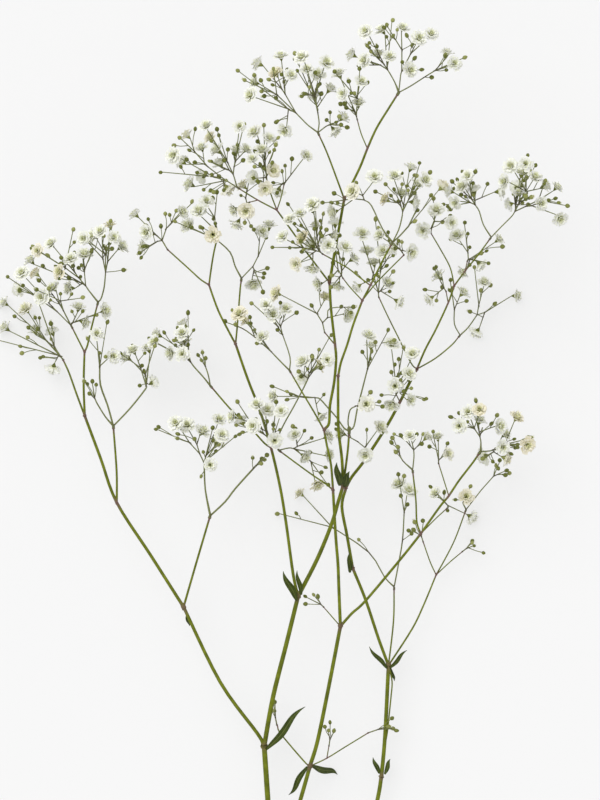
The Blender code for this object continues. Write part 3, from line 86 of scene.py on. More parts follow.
# Branches: name, start and end radius in millimetres, and points as
# photograph x, photograph y, height over the surface in millimetres.
BRANCHES = [
    ("base", 2.2, 2.0, [(312, 1030, 1.7), (307, 995, 1.7), (303, 970, 2.3), (298, 950, 4)]),
    ("left_stem", 1.8, 1.6, [(298, 950, 4), (286, 918, 6), (276, 885, 8), (270, 840, 11),
                             (267.5, 800, 14), (264, 748, 18)]),
    ("centre_stem", 1.35, 1.15, [(276, 885, 8), (283, 856, 11), (293, 826, 15), (301, 800, 18),
                                 (310, 768, 22), (318, 741, 25), (330, 682, 31), (340.5, 627, 36)]),
    ("right_stem", 1.4, 1.2, [(298, 950, 4), (325, 918, 6), (350, 884, 7), (368, 845, 8),
                              (378.5, 800, 9), (382, 779, 10), (385.5, 739, 12), (389, 667, 16)]),
    # thin shoot close beside the right stem, from its lower joint to its fork
    ("right_beside", 0.50, 0.44, [(382, 779, 10), (384.9, 752, 11.4), (387.9, 734, 12.6),
                                  (389.9, 715, 13.8), (391.6, 698, 14.8), (392.6, 683, 15.4),
                                  (389, 667, 16)]),
    # left fork of the left stem
    ("far_left", 1.15, 0.85, [(264, 748, 18), (257, 735, 19), (220, 684, 20), (183, 608, 22),
                              (150, 556, 24), (116, 503, 27), (100, 459, 29), (84, 416, 31)]),
    ("mid_left", 0.72, 0.65, [(183, 608, 22), (196, 563, 26), (209, 519, 30)]),
    ("mid_left_a", 0.50, 0.45, [(209, 519, 30), (205, 490, 33), (204, 466, 36)]),
    ("mid_left_b", 0.58, 0.50, [(209, 519, 30), (225, 502, 31), (235, 489, 31), (253, 469, 32)]),
    ("left_inner", 0.70, 0.60, [(116, 503, 27), (116, 472, 31), (113, 429, 36)]),
    ("left_inner_a", 0.45, 0.40, [(113, 429, 36), (105, 417, 38), (97, 404, 41)]),
    ("left_inner_b", 0.55, 0.50, [(113, 429, 36), (107, 405, 38), (100, 385, 40)]),
    ("left_inner_c", 0.50, 0.45, [(113, 429, 36), (130, 408, 35), (145, 389, 34)]),
    ("left_low", 0.65, 0.50, [(84, 416, 31), (76, 395, 27), (68, 373, 22), (62, 360, 18)]),
    ("left_high", 0.75, 0.65, [(84, 416, 31), (83, 385, 35), (84, 352, 39)]),
    ("left_high_a", 0.50, 0.45, [(84, 352, 39), (77, 338, 41), (72, 328, 42)]),
    ("left_high_b", 0.60, 0.50, [(84, 352, 39), (87, 345, 40), (91, 328, 43), (97, 305, 46)]),
    ("left_high_c", 0.42, 0.38, [(97, 305, 46), (89, 291, 47)]),
    ("left_high_d", 0.45, 0.40, [(97, 305, 46), (101, 298, 47), (104, 287, 49)]),
    # right fork of the left stem
    ("left_main", 1.45, 1.3, [(264, 748, 18), (273, 698, 24), (286, 646, 31), (298, 597, 37)]),
    ("left_main_up", 1.3, 1.05, [(298, 597, 37), (317, 560, 41), (331, 526, 44), (338, 503, 47),
                                 (343, 486, 50)]),
    ("inner", 0.95, 0.75, [(298, 597, 37), (293, 574, 36), (286, 523, 36), (280, 487, 37),
                           (271, 448, 38), (260, 411, 41), (248, 380, 44), (235.5, 344, 48)]),
    ("inner_left", 0.55, 0.50, [(271, 448, 38), (264, 443, 38), (252, 430, 36), (232, 411, 34),
                                (212, 388, 33)]),
    ("inner_left_a", 0.45, 0.40, [(212, 388, 33), (203, 377, 33), (194, 367, 33)]),
    ("inner_left_b", 0.40, 0.36, [(212, 388, 33), (208, 375, 35)]),
    ("inner_up", 0.65, 0.60, [(235.5, 344, 48), (228, 330, 50), (218, 310, 52), (209, 285, 54)]),
    ("inner_up_a", 0.50, 0.42, [(209, 285, 54), (200, 279, 54), (188, 268, 53), (168, 250, 52)]),
    ("inner_up_b", 0.55, 0.50, [(209, 285, 54), (211, 270, 56), (214, 252, 58), (218, 236, 60)]),
    ("inner_mid", 0.55, 0.50, [(235.5, 344, 48), (237, 328, 46), (240, 290, 44), (241, 281, 43)]),
    ("inner_mid_a", 0.45, 0.40, [(241, 281, 43), (235, 266, 42), (230, 252, 41)]),
    ("inner_mid_b", 0.38, 0.35, [(241, 281, 43), (250, 269, 41)]),
    # upper fork of the centre stem
    ("centre_up", 1.0, 0.85, [(340.5, 627, 36), (339, 590, 42), (338, 564, 47), (336, 540, 51),
                              (334.5, 516, 55), (333, 490, 59)]),
    ("centre_up_b", 0.72, 0.65, [(333, 490, 59), (331, 465, 60), (327, 446, 60), (324, 430, 60)]),
    ("centre_prong_a", 0.55, 0.45, [(324, 430, 60), (314, 412, 59), (302, 392, 58), (291, 373, 57)]),
    ("centre_prong_aa", 0.42, 0.38, [(291, 373, 57), (282, 363, 57)]),
    ("centre_prong_ab", 0.42, 0.38, [(291, 373, 57), (290, 357, 59)]),
    ("centre_prong_b", 0.86, 0.80, [(324, 430, 60), (329, 423, 61), (330, 405, 63), (334, 383, 66),
                                    (336, 360, 69), (335, 345, 70), (331, 310, 73), (329.5, 283, 75)]),
    ("centre_twig", 0.42, 0.38, [(335, 345, 70), (325, 333, 70)]),
    ("centre_side", 0.52, 0.45, [(333, 490, 59), (326, 484, 58), (314, 476, 56), (300, 466, 53),
                                 (281, 452, 50)]),
    ("centre_side_a", 0.45, 0.38, [(281, 452, 50), (278, 438, 50), (284, 424, 50), (293, 408, 50),
                                   (301, 393, 50), (306, 383, 49)]),
    ("centre_side_b", 0.40, 0.38, [(281, 452, 50), (274, 444, 52)]),
    ("centre_side_c", 0.40, 0.36, [(281, 452, 50), (289, 448, 48)]),
    # the crown above the leafy joint
    ("crown", 0.95, 0.80, [(343, 486, 50), (342, 460, 56), (338.5, 430, 64), (338, 400, 71),
                           (338, 376, 76)]),
    ("crown_b", 0.75, 0.68, [(338, 376, 76), (341, 362, 79), (347, 345, 82), (353, 325, 85),
                             (362, 301, 88)]),
    ("crown_c", 0.60, 0.55, [(362, 301, 88), (370, 286, 90), (375, 276, 91), (383, 260, 93),
                             (390.5, 246, 95)]),
    ("crown_c1", 0.42, 0.36, [(390.5, 246, 95), (382, 230, 97), (371, 207, 99)]),
    ("crown_c2", 0.45, 0.40, [(390.5, 246, 95), (398, 231, 96), (401, 220, 96)]),
    ("crown_c3", 0.45, 0.40, [(390.5, 246, 95), (400, 236, 92), (408, 227, 90)]),
    ("crown_d", 0.45, 0.38, [(362, 301, 88), (372, 288, 84), (383, 276, 81), (403, 256, 77)]),
    ("crown_e", 0.45, 0.40, [(370, 286, 90), (358, 277, 89), (348, 269, 88), (334, 261, 88),
                             (323, 255, 88)]),
    ("crown_f", 0.40, 0.36, [(362, 301, 88), (350, 288, 84), (343, 279, 82)]),
    ("knot", 0.75, 0.62, [(343, 486, 50), (346, 465, 53), (348, 448, 56), (349, 434, 58)]),
    ("knot_a", 0.45, 0.40, [(349, 434, 58), (344, 428, 58), (337, 418, 57), (329, 409, 55),
                            (320, 399, 54)]),
    ("knot_b", 0.50, 0.42, [(349, 434, 58), (354, 426, 59), (357, 410, 61), (361, 394, 63)]),
    ("knot_c", 0.42, 0.38, [(349, 434, 58), (348, 421, 60), (350, 410, 61)]),
    ("top_left", 0.55, 0.50, [(329.5, 283, 75), (318, 268, 77), (303, 248, 80), (295, 236, 82),
                              (277, 211, 86)]),
    ("top_left_a", 0.45, 0.40, [(277, 211, 86), (258, 201, 86), (240, 190, 86)]),
    ("top_left_aa", 0.38, 0.34, [(240, 190, 86), (235, 180, 88)]),
    ("top_left_ab", 0.38, 0.34, [(240, 190, 86), (229, 183, 84)]),
    ("top_left_ac", 0.36, 0.33, [(258, 201, 86), (250, 203, 84)]),
    ("top_left_b", 0.42, 0.38, [(277, 211, 86), (272, 198, 88), (268, 186, 90)]),
    ("top_left_c", 0.38, 0.34, [(277, 211, 86), (281, 199, 85), (284, 186, 84)]),
    ("top", 0.88, 0.82, [(329.5, 283, 75), (334, 256, 80), (339, 228, 85), (344, 200, 90)]),
    ("top_a", 0.55, 0.45, [(344, 200, 90), (331, 165, 95), (325, 150, 97), (319, 137, 98)]),
    ("top_aa", 0.38, 0.34, [(319, 137, 98), (308, 127, 98), (300, 119, 98)]),
    ("top_ab", 0.38, 0.34, [(319, 137, 98), (319, 125, 100)]),
    ("top_ac", 0.36, 0.33, [(319, 137, 98), (326, 128, 97)]),
    ("top_b", 0.78, 0.62, [(344, 200, 90), (359, 170, 92), (367, 150, 94), (376, 130, 95),
                           (387, 112, 97), (396.5, 97, 98)]),
    ("top_ba", 0.38, 0.34, [(396.5, 97, 98), (394, 84, 98), (389, 75, 97)]),
    ("top_bb", 0.36, 0.33, [(396.5, 97, 98), (399, 86, 101), (400, 77, 103)]),
    ("top_bc", 0.38, 0.34, [(396.5, 97, 98), (410, 88, 98), (424, 79, 98)]),
    ("top_bd", 0.36, 0.33, [(367, 150, 94), (361, 136, 97), (357, 122, 99)]),
    # right fork of the centre stem
    ("fan", 0.85, 0.75, [(340.5, 627, 36), (352, 614, 36), (366, 601, 37), (402, 558, 40),
                         (421, 534, 42)]),
    ("fan_a", 0.56, 0.48, [(421, 534, 42), (417, 522, 44), (416, 500, 47), (413, 473, 50)]),
    ("fan_aa", 0.36, 0.33, [(413, 473, 50), (403, 461, 52)]),
    ("fan_ab", 0.38, 0.34, [(413, 473, 50), (414, 457, 53)]),
    ("fan_b", 0.72, 0.62, [(421, 534, 42), (440, 507, 44), (449, 496, 45), (459, 481, 46),
                           (472, 464, 48), (479, 454, 49)]),
    ("fan_ba", 0.40, 0.36, [(479, 454, 49), (481, 442, 51)]),
    ("fan_bb", 0.40, 0.36, [(479, 454, 49), (490, 451, 48)]),
    ("fan_bc", 0.36, 0.33, [(449, 496, 45), (444, 480, 44), (439, 464, 43)]),
    ("fan_c", 0.38, 0.34, [(421, 534, 42), (436, 519, 38), (447, 509, 35)]),
    # the right stem's forks
    ("right_main", 0.95, 0.90, [(389, 667, 16), (379, 640, 20), (366, 601, 24), (353, 569, 27),
                                (347, 535, 30), (342, 507, 34), (346, 488, 37), (352, 477, 39),
                                (365, 460, 42), (387, 426, 46), (400, 402, 49), (410, 382, 52),
                                (417, 369, 54)]),
    ("right_a", 0.65, 0.55, [(417, 369, 54), (425, 350, 56), (436, 329, 59), (448, 303, 63),
                             (454, 286, 65)]),
    ("right_aa", 0.42, 0.36, [(454, 286, 65), (450, 268, 66), (441, 251, 67), (431, 234, 68)]),
    ("right_ab", 0.50, 0.42, [(454, 286, 65), (465, 271, 65), (478, 255, 66), (489, 240, 67)]),
    ("right_aba", 0.38, 0.34, [(489, 240, 67), (483, 225, 68), (479, 212, 69)]),
    ("right_abb", 0.40, 0.35, [(489, 240, 67), (500, 228, 67), (511, 217, 67)]),
    ("right_abc", 0.36, 0.33, [(465, 271, 65), (467, 262, 63)]),
    ("right_ac", 0.36, 0.33, [(448, 303, 63), (446, 292, 61)]),
    ("right_b", 0.45, 0.40, [(417, 369, 54), (436, 358, 43), (452, 345, 34), (459, 337, 31)]),
    ("right_ba", 0.38, 0.34, [(459, 337, 31), (469, 327, 27)]),
    ("right_bb", 0.34, 0.32, [(459, 337, 31), (455, 324, 31)]),
    ("right_c", 0.42, 0.36, [(417, 369, 54), (411, 363, 56), (398, 337, 60), (388, 317, 63),
                             (379, 298, 66)]),
    ("right_d", 0.38, 0.34, [(400, 402, 49), (396, 394, 53)]),
    ("right_e", 0.38, 0.34, [(365, 460, 42), (366, 450, 46)]),
    ("low_mid", 0.50, 0.45, [(389, 667, 16), (394, 623, 17), (394.6, 591, 18)]),
    ("low_mid_a", 0.38, 0.35, [(394.6, 591, 18), (385, 578, 17), (369, 553, 16)]),
    ("low_mid_b", 0.42, 0.38, [(394.6, 591, 18), (399, 565, 20), (403, 541, 22)]),
    ("low_right", 0.60, 0.50, [(389, 667, 16), (413, 630, 14), (425, 605, 13), (437, 576, 12)]),
    ("low_right_a", 0.38, 0.35, [(437, 576, 12), (431, 563, 13), (424, 543, 16)]),
    ("low_right_b", 0.45, 0.40, [(437, 576, 12), (446, 560, 12), (456, 540, 13), (466, 513, 15)]),
    ("low_right_ba", 0.34, 0.32, [(466, 513, 15), (464, 504, 15)]),
    ("low_right_bb", 0.36, 0.33, [(466, 513, 15), (482, 491, 17), (489, 483, 18)]),
    ("low_right_c", 0.36, 0.33, [(437, 576, 12), (451, 563, 11), (463, 553, 10)]),
    # small basal shoots
    ("shoot_left", 0.50, 0.42, [(310, 768, 22), (304, 763, 22), (281, 736, 20), (277, 727, 19)]),
    ("shoot_right", 0.42, 0.38, [(310, 768, 22), (327, 760, 21.5), (345, 749, 20), (368, 735, 19)]),
    ("shoot_bud", 0.36, 0.33, [(327, 760, 21.5), (329, 748, 23)]),
    ("knee_left", 0.36, 0.33, [(340.5, 627, 36), (324, 608, 37)]),
]

# Branches that carry a spray of their own where others share one
SEPARATE = {"inner_up_a", "inner_up_b", "top_left_b", "top_left_c", "left_high_a", "top_bd",
            "shoot_left", "shoot_right"}

# Open flowers, as photograph x and y
BLOOMS = [
    (409, 73), (453, 66), (418, 42), (402, 31), (382, 33), (365, 34), (378, 57), (389, 59),
    (364, 63), (353, 57), (361, 84), (358, 106), (446, 56), (430, 37), (260, 66), (281, 59),
    (276, 76), (256, 85), (251, 98), (240, 129), (255, 134), (269, 140), (285, 132), (291, 78),
    (302, 61), (307, 72), (318, 78), (326, 66), (315, 100), (329, 92), (339, 77), (347, 98),
    (330, 128), (342, 120), (188, 137), (207, 128), (211, 139), (202, 149), (174, 157),
    (184, 163), (218, 152), (221, 166), (236, 153), (246, 151), (262, 152), (253, 161),
    (273, 172), (254, 179), (244, 187), (227, 188), (204, 177), (191, 185), (279, 190),
    (265, 190), (306, 157), (207, 202), (199, 212), (182, 212), (188, 225), (213, 235),
    (235, 211), (246, 212), (238, 223), (146, 232), (145, 246), (136, 215), (253, 283),
    (110, 226), (101, 232), (93, 236), (82, 238), (114, 238), (121, 247), (51, 244),
    (38, 251), (31, 261), (22, 273), (36, 274), (53, 288), (71, 259), (84, 255), (60, 272),
    (70, 288), (19, 289), (41, 297), (24, 309), (3, 303), (78, 308), (83, 322), (104, 311),
    (97, 334), (33, 331), (51, 333), (4, 328), (60, 361), (127, 358), (113, 356), (133, 351),
    (148, 349), (151, 383), (154, 342), (158, 335), (184, 325), (182, 333), (186, 345),
    (171, 353), (182, 354), (176, 423), (187, 425), (202, 432), (219, 420), (222, 435),
    (216, 444), (210, 465), (233, 417), (242, 423), (253, 426), (257, 405), (267, 410),
    (281, 411), (274, 396), (275, 440), (295, 435), (304, 456), (317, 484), (301, 495),
    (327, 437), (328, 455), (342, 434), (365, 455), (380, 428), (366, 404), (320, 415),
    (410, 436), (426, 438), (438, 438), (399, 485), (409, 491), (436, 494), (301, 376),
    (303, 362), (330, 356), (318, 366), (347, 315), (240, 314), (247, 322), (266, 305),
    (273, 315), (286, 309), (262, 337), (269, 226), (262, 232), (283, 238), (303, 239),
    (290, 221), (313, 206), (316, 228), (334, 213), (335, 225), (332, 236), (313, 247),
    (328, 246), (300, 215), (277, 294), (296, 265), (312, 268), (319, 284), (338, 285),
    (325, 298), (362, 235), (380, 236), (367, 252), (395, 249), (383, 252), (352, 260),
    (345, 248), (374, 264), (387, 283), (397, 301), (359, 286), (352, 193), (374, 179),
    (386, 201), (410, 170), (416, 186), (424, 182), (401, 196), (412, 203), (438, 183),
    (436, 211), (455, 203), (451, 192), (462, 187), (474, 192), (467, 177), (451, 223),
    (457, 236), (423, 231), (440, 277), (394, 178), (407, 254), (508, 167), (503, 180),
    (521, 173), (529, 165), (498, 192), (511, 204), (519, 194), (540, 204), (543, 187),
    (556, 188), (559, 219), (498, 240), (479, 264), (485, 282), (464, 271), (515, 184),
    (534, 178), (431, 298), (463, 293), (479, 330), (368, 336), (371, 347), (412, 354),
    (409, 374), (395, 386), (392, 404), (410, 400), (392, 344), (517, 295), (459, 426),
    (468, 412), (480, 411), (479, 422), (448, 454), (486, 456), (500, 427), (505, 435),
    (503, 447), (505, 458), (527, 445), (517, 418), (467, 497), (471, 517),
]

# Leaves: name, root, tip, width in millimetres, lift of the tip
LEAVES = [
    ("leaf_left_fork", (270, 747, 20.5), (308, 705, 27), 4.4, 3.0),
    ("leaf_centre_right", (314, 768.5, 21.2), (339, 778, 0), 4.4, 0.0),
    ("leaf_centre_left", (305, 772, 19), (287, 800, 9), 3.6, 1.0),
    ("leaf_right_stem_a", (380, 776, 10.3), (374, 761, 12), 2.8, 1.0),
    ("leaf_right_stem_b", (386, 775, 10.5), (391, 761, 8), 2.8, 1.0),
    ("leaf_inner_fork", (295, 597, 39.5), (282, 569, 44), 4.2, 2.0),
    ("leaf_inner_fork_b", (301, 593, 39.5), (297, 570, 45), 3.0, 1.0),
    ("leaf_right_fork_a", (386, 668, 17.5), (369, 647, 24), 2.8, 1.5),
    ("leaf_right_fork_b", (392, 668, 17), (408, 651, 21), 2.6, 1.0),
    ("leaf_right_fork_c", (391, 670, 14.5), (395, 683, 10), 2.2, 0.5),
    ("leaf_crown_a", (345, 484, 53), (350, 470, 64), 4.8, 1.0),
    ("leaf_crown_b", (340, 486, 52.5), (337, 464, 66), 4.6, 1.0),
    ("leaf_right_main", (350, 567, 29.5), (350, 548, 36), 3.2, 1.0),
    ("leaf_far_left", (186, 611, 23.5), (188, 623, 18), 3.0, 0.5),
]


def place(x, y, z):
    """Photograph pixels and a height in millimetres, as a point in metres."""
    return Vector(((x - ORIGIN_X) * PIXEL, (ORIGIN_Y - y) * PIXEL, z * MM))


def turned_to(direction, spin=0.0):
    """A turn that takes +Z to the direction, after a spin about +Z."""
    turn = Vector((0, 0, 1)).rotation_difference(direction.normalized())
    return turn.to_matrix().to_4x4() @ Matrix.Rotation(spin, 4, "Z")


def smooth_path(points, steps):
    """Points on a Catmull-Rom curve through the given ones."""
    if len(points) < 3 or steps < 2:
        return points
    ends = [points[0] * 2 - points[1]] + points + [points[-1] * 2 - points[-2]]
    path = [points[0]]
    for i in range(1, len(ends) - 2):
        a, b, c, d = ends[i - 1:i + 3]
        for k in range(1, steps + 1):
            t = k / steps
            path.append(0.5 * (2 * b + (c - a) * t + (2 * a - 5 * b + 4 * c - d) * t * t
                               + (3 * b - a - 3 * c + d) * t * t * t))
    return path


# Keeping clear


class Room:
    """What is already placed, as rods with round ends."""

    def __init__(self):
        self.a = []
        self.b = []
        self.r = []
        self.owner = []

    def add(self, a, b, r, owner):
        self.a.append(tuple(a))
        self.b.append(tuple(b))
        self.r.append(r)
        self.owner.append(owner)

    def arrays(self):
        return np.array(self.a), np.array(self.b), np.array(self.r), np.array(self.owner)

    def gaps(self, a, b, r):
        """Clear distance from a rod a, b of radius r to every rod placed."""
        p, q, radii, owners = self.arrays()
        d1 = np.array(b - a)
        d2 = q - p
        w = np.array(a) - p
        aa = float(d1 @ d1) + 1e-18
        ee = np.einsum("ij,ij->i", d2, d2) + 1e-18
        ff = np.einsum("ij,ij->i", d2, w)
        cc = w @ d1
        bb = d2 @ d1
        den = aa * ee - bb * bb
        s = np.clip(np.where(den > 1e-16, (bb * ff - cc * ee) / np.maximum(den, 1e-16), 0.0), 0, 1)
        t = (bb * s + ff) / ee
        low = t < 0
        high = t > 1
        s = np.where(low, np.clip(-cc / aa, 0, 1), s)
        s = np.where(high, np.clip((bb - cc) / aa, 0, 1), s)
        t = np.clip(t, 0, 1)
        near = w + s[:, None] * d1 - t[:, None] * d2
        return np.sqrt(np.einsum("ij,ij->i", near, near)) - radii - r, owners

    def clear(self, a, b, r, owner, own_gap):
        gaps, owners = self.gaps(a, b, r)
        if np.any(gaps[owners != owner] < CLEARANCE):
            return False
        return not np.any(gaps[owners == owner] < own_gap)

    def has(self, point, owner):
        """True if a ball is placed at a point."""
        spot = tuple(point)
        return any(o == owner and a == spot and b == spot
                   for a, b, o in zip(self.a, self.b, self.owner))

    def drop(self, point, owner):
        """Takes back the ball that was placed last at a point."""
        for i in range(len(self.a) - 1, -1, -1):
            if self.owner[i] == owner and self.a[i] == tuple(point) and self.b[i] == tuple(point):
                del self.a[i], self.b[i], self.r[i], self.owner[i]
                return


# Sprays


def ahead_cost(root, direction, point):
    """How far a flower is from a branch tip, and how far off its way."""
    offset = Vector((point[0] - root[0], point[1] - root[1]))
    if offset.length < 1e-6:
        return 0.0
    side = 1.0 - offset.normalized().dot(direction)
    return offset.length * (1.0 + 1.1 * side)


def share_blooms(tips):
    """Gives each flower to the branch end whose way leads to it."""
    arms = [arm for tip in tips for arm in tip["arms"]]
    shares = [[] for _ in arms]
    for bloom in BLOOMS:
        costs = [ahead_cost(arm["pixel"], arm["flat"], bloom) for arm in arms]
        shares[costs.index(min(costs))].append(bloom)
    grouped = []
    at = 0
    for tip in tips:
        grouped.append(shares[at:at + len(tip["arms"])])
        at += len(tip["arms"])
    return grouped


class Spray:
    """Twigs, buds and flowers that grow from one branch end."""

    def __init__(self, tip, room, rng):
        self.tip = tip
        self.name = tip["name"]
        self.room = room
        self.rng = rng
        self.chains = []
        self.missed = 0
        self.heads = [0, 0]
        self.jobs = []
        self.unplaced = []
        self.left = []

    def choose_targets(self, arm, blooms):
        """Free places for the flowers of one arm, and for the buds round them."""
        rng = self.rng
        targets = []
        for x, y in blooms:
            size = BLOOM_RADIUS * rng.uniform(0.88, 1.1)
            targets.append(self.find_place(arm, x, y, size, True))
        count = max(1, round(BUDS_PER_BLOOM * len(blooms)))
        if not blooms:
            count = 2
        root_x, root_y = arm["pixel"]
        for k in range(count):
            if blooms:
                x, y = blooms[k * len(blooms) // count]
                out = Vector((x - root_x, y - root_y))
                reach = out.length + rng.uniform(3, 14)
            else:
                out = arm["flat"] * 20
                reach = rng.uniform(12, 26)
            angle = math.atan2(out.y, out.x) + rng.uniform(-0.38, 0.38)
            x = root_x + reach * math.cos(angle)
            y = root_y + reach * math.sin(angle)
            size = BUD_RADIUS * rng.uniform(0.9, 1.15)
            targets.append(self.find_place(arm, x, y, size, False))
        return [t for t in targets if t is not None]

    def find_place(self, arm, x, y, size, open_flower, wide=0.0):
        """A free height, and if need be a free place close by, for one flower."""
        rng = self.rng
        base = arm["point"]
        flat = math.hypot(x - arm["pixel"][0], y - arm["pixel"][1]) * PIXEL
        half = size * (0.60 if open_flower else 1.3)
        for attempt in range(110):
            spread = (0.35 + 0.012 * attempt + wide) * flat + 5 * MM
            z = base.z + arm["ahead"].z * flat * 0.8 + rng.uniform(-spread, spread)
            z = max(z, half)
            if (x, y) in LOW_BLOOMS:
                z = half
            shift = (0.0 if attempt < 40 else 0.12 * (attempt - 40)) + 4.0 * wide
            point = place(x + rng.uniform(-shift, shift), y + rng.uniform(-shift, shift), 0)
            point.z = z
            if (point - base).length < size * 1.7:
                continue
            if self.room.clear(point, point, size * 1.02, self.name, 0.15 * MM):
                self.room.add(point, point, size * 1.02, self.name)
                return (point, size, open_flower)
        if not wide:
            self.unplaced.append((arm, x, y, size, open_flower))
        return None

    def prepare(self, shares):
        for arm, blooms in zip(self.tip["arms"], shares):
            self.jobs.append((arm, self.choose_targets(arm, blooms)))

    def grow(self):
        """The short trunk over the branch end, its arms, then their twigs."""
        radius = self.tip["radius"]
        root = self.tip["point"]
        ahead = self.tip["ahead"]
        start = root + ahead * (SEAT_GAP + radius * 0.3)
        arms = self.tip["arms"]
        if arms[0]["path"] is None:
            chain = [(start, radius)]
            self.branch(chain, ahead, self.jobs[0][1], radius, True)
            return
        fork = start + ahead * 1.4 * MM
        trunk = [(start, radius), (fork, radius)]
        for k, (arm, targets) in enumerate(self.jobs):
            chain = trunk if k == 0 else [(fork - ahead * radius * 0.3, 0.30 * MM)]
            for point in arm["path"]:
                chain.append((point, arm["radius"]))
            for (a, r0), (b, _) in zip(chain, chain[1:]):
                self.room.add(a, b, r0, self.name)
            self.branch(chain, arm["ahead"], targets, arm["radius"], False)

    def path(self, a, b, radius, first, target=None):
        """A straight twig where there is room, else one bent clear."""
        rng = self.rng
        root = self.tip["point"] if first else None
        if self.room_for(a, b, radius, root, target):
            return [b]
        length = (b - a).length
        side = (b - a).orthogonal().normalized()
        for attempt in range(60):
            reach = length * (0.08 + 0.010 * attempt)
            turn = Matrix.Rotation(rng.uniform(0, 2 * math.pi), 4, (b - a).normalized())
            mid = a.lerp(b, rng.uniform(0.3, 0.7)) + turn @ side * reach
            if mid.z < radius * 1.2:
                continue
            if not self.room_for(a, mid, radius, root, target):
                continue
            if self.room_for(mid, b, radius, None, target):
                return [mid, b]
        return None

    def room_for(self, a, b, radius, root, target):
        """True if a twig keeps clear of the other nodes and of its own flowers."""
        gaps, owners = self.room.gaps(a, b, radius)
        p, q, _, _ = self.room.arrays()
        own = owners == self.name
        ball = (np.linalg.norm(p - q, axis=1) < 1e-9) & own
        if target is not None:
            ball &= np.linalg.norm(p - np.array(target), axis=1) > 1e-6
        foreign = ~own
        if root is not None:
            foreign &= np.linalg.norm(q - np.array(root), axis=1) > 1e-6
        if np.any(gaps[foreign] < CLEARANCE):
            return False
        return not np.any(gaps[ball] < 0.05 * MM)

    def lay(self, chain, way, radius):
        for point in way:
            self.room.add(chain[-1][0], point, radius, self.name)
            chain.append((point, radius))

    def close(self, chain, head):
        if len(chain) > 1:
            self.chains.append((chain, head))

    def end_at(self, chain, target, first, final=True):
        """The last twig of a chain, with its flower or bud."""
        rng = self.rng
        a = chain[-1][0]
        for attempt in range(14):
            point, size, open_flower = target
            way_in = (point - a).normalized()
            wobble = Vector([rng.uniform(-1, 1), rng.uniform(-1, 1), rng.uniform(-0.4, 1.3)])
            axis = (way_in + wobble * (0.42 if open_flower else 0.25)).normalized()
            root = point - axis * size * (0.60 if open_flower else 1.2)
            way = self.path(a, root, PEDICEL_RADIUS, first, point)
            if way is not None:
                self.lay(chain, way, PEDICEL_RADIUS)
                spin = rng.uniform(0, 6.28)
                if open_flower:
                    petals = 5 if rng.random() < 0.45 else 4
                    self.close(chain, ("bloom", root, axis, size, spin, petals))
                    self.heads[0] += 1
                else:
                    self.close(chain, ("bud", root, axis, size, spin))
                    self.heads[1] += 1
                return True
            if attempt % 3 == 2:
                moved = self.move(target, 0.2 + 0.08 * attempt)
                if moved is not None:
                    target = moved
        if final:
            self.left.append(target)
            self.close(chain, None)
            return False
        self.room.drop(target[0], self.name)
        return False

    def grow_missing(self):
        """A twig from any fork nearby for each flower that found no way or no place."""
        for arm, x, y, size, open_flower in self.unplaced:
            for wide in (0.3, 0.6, 1.0, 1.5, 2.0):
                target = self.find_place(arm, x, y, size, open_flower, wide)
                if target is not None:
                    self.left.append(target)
                    break
            else:
                self.missed += 1
        for target in self.left:
            if not self.reach(target):
                self.missed += 1

    def reach(self, target):
        """Tries the forks of the spray in turn, the nearest first."""
        joints = [point for chain, _ in self.chains for point, _ in chain[1:-1]]
        joints.sort(key=lambda joint: (joint - target[0]).length)
        for joint in joints[:10]:
            if not self.room.has(target[0], self.name):
                self.room.add(target[0], target[0], target[1] * 1.02, self.name)
            if self.end_at([(joint, 0.30 * MM)], target, False, False):
                return True
        return False

    def move(self, target, wide):
        """Another free place for a flower that no twig can reach."""
        point, size, open_flower = target
        x = point.x / PIXEL + ORIGIN_X
        y = ORIGIN_Y - point.y / PIXEL
        best = min(self.tip["arms"], key=lambda arm: math.hypot(x - arm["pixel"][0],
                                                                y - arm["pixel"][1]))
        self.room.drop(point, self.name)
        found = self.find_place(best, x, y, size, open_flower, wide)
        if found is None:
            self.room.add(point, point, size * 1.02, self.name)
        return found

    def branch(self, chain, ahead, targets, radius, first):
        """Grows a chain on to its flowers, forking in twos and threes."""
        if not targets:
            self.close(chain, None)
            return
        if len(targets) == 1:
            self.end_at(chain, targets[0], first)
            return
        a = chain[-1][0]
        centre = sum((t[0] for t in targets), Vector()) / len(targets)
        nearest = min((t[0] - a).length - t[1] for t in targets)
        reach = min((centre - a).length * 0.52, max(nearest * 0.62, 2.0 * MM))
        r1 = max(radius * 0.88, PEDICEL_RADIUS)
        way = None
        rng = self.rng
        for attempt in range(40):
            pull = (centre - a).normalized() + ahead * rng.uniform(0.1, 0.7)
            shake = Vector([rng.uniform(-1, 1) for _ in range(3)]) * (0.03 * attempt)
            short = rng.uniform(0.6, 1.05) * (1.0 - 0.012 * attempt)
            fork = a + (pull.normalized() + shake).normalized() * reach * short
            fork.z = max(fork.z, 1.0 * MM)
            way = self.path(a, fork, r1, first)
            if way is not None:
                break
        if way is None:
            way = []
            if first:
                way = [a + ahead * 1.2 * MM]
        self.lay(chain, way, r1)
        fork = chain[-1][0]
        onward = (fork - chain[-2][0]).normalized() if len(chain) > 1 else ahead
        groups = self.groups(fork, onward, targets, not way)
        for k, group in enumerate(groups):
            arm = chain if k == 0 else [(fork - onward * 0.15 * MM, 0.30 * MM)]
            self.branch(arm, onward, group, r1, False)

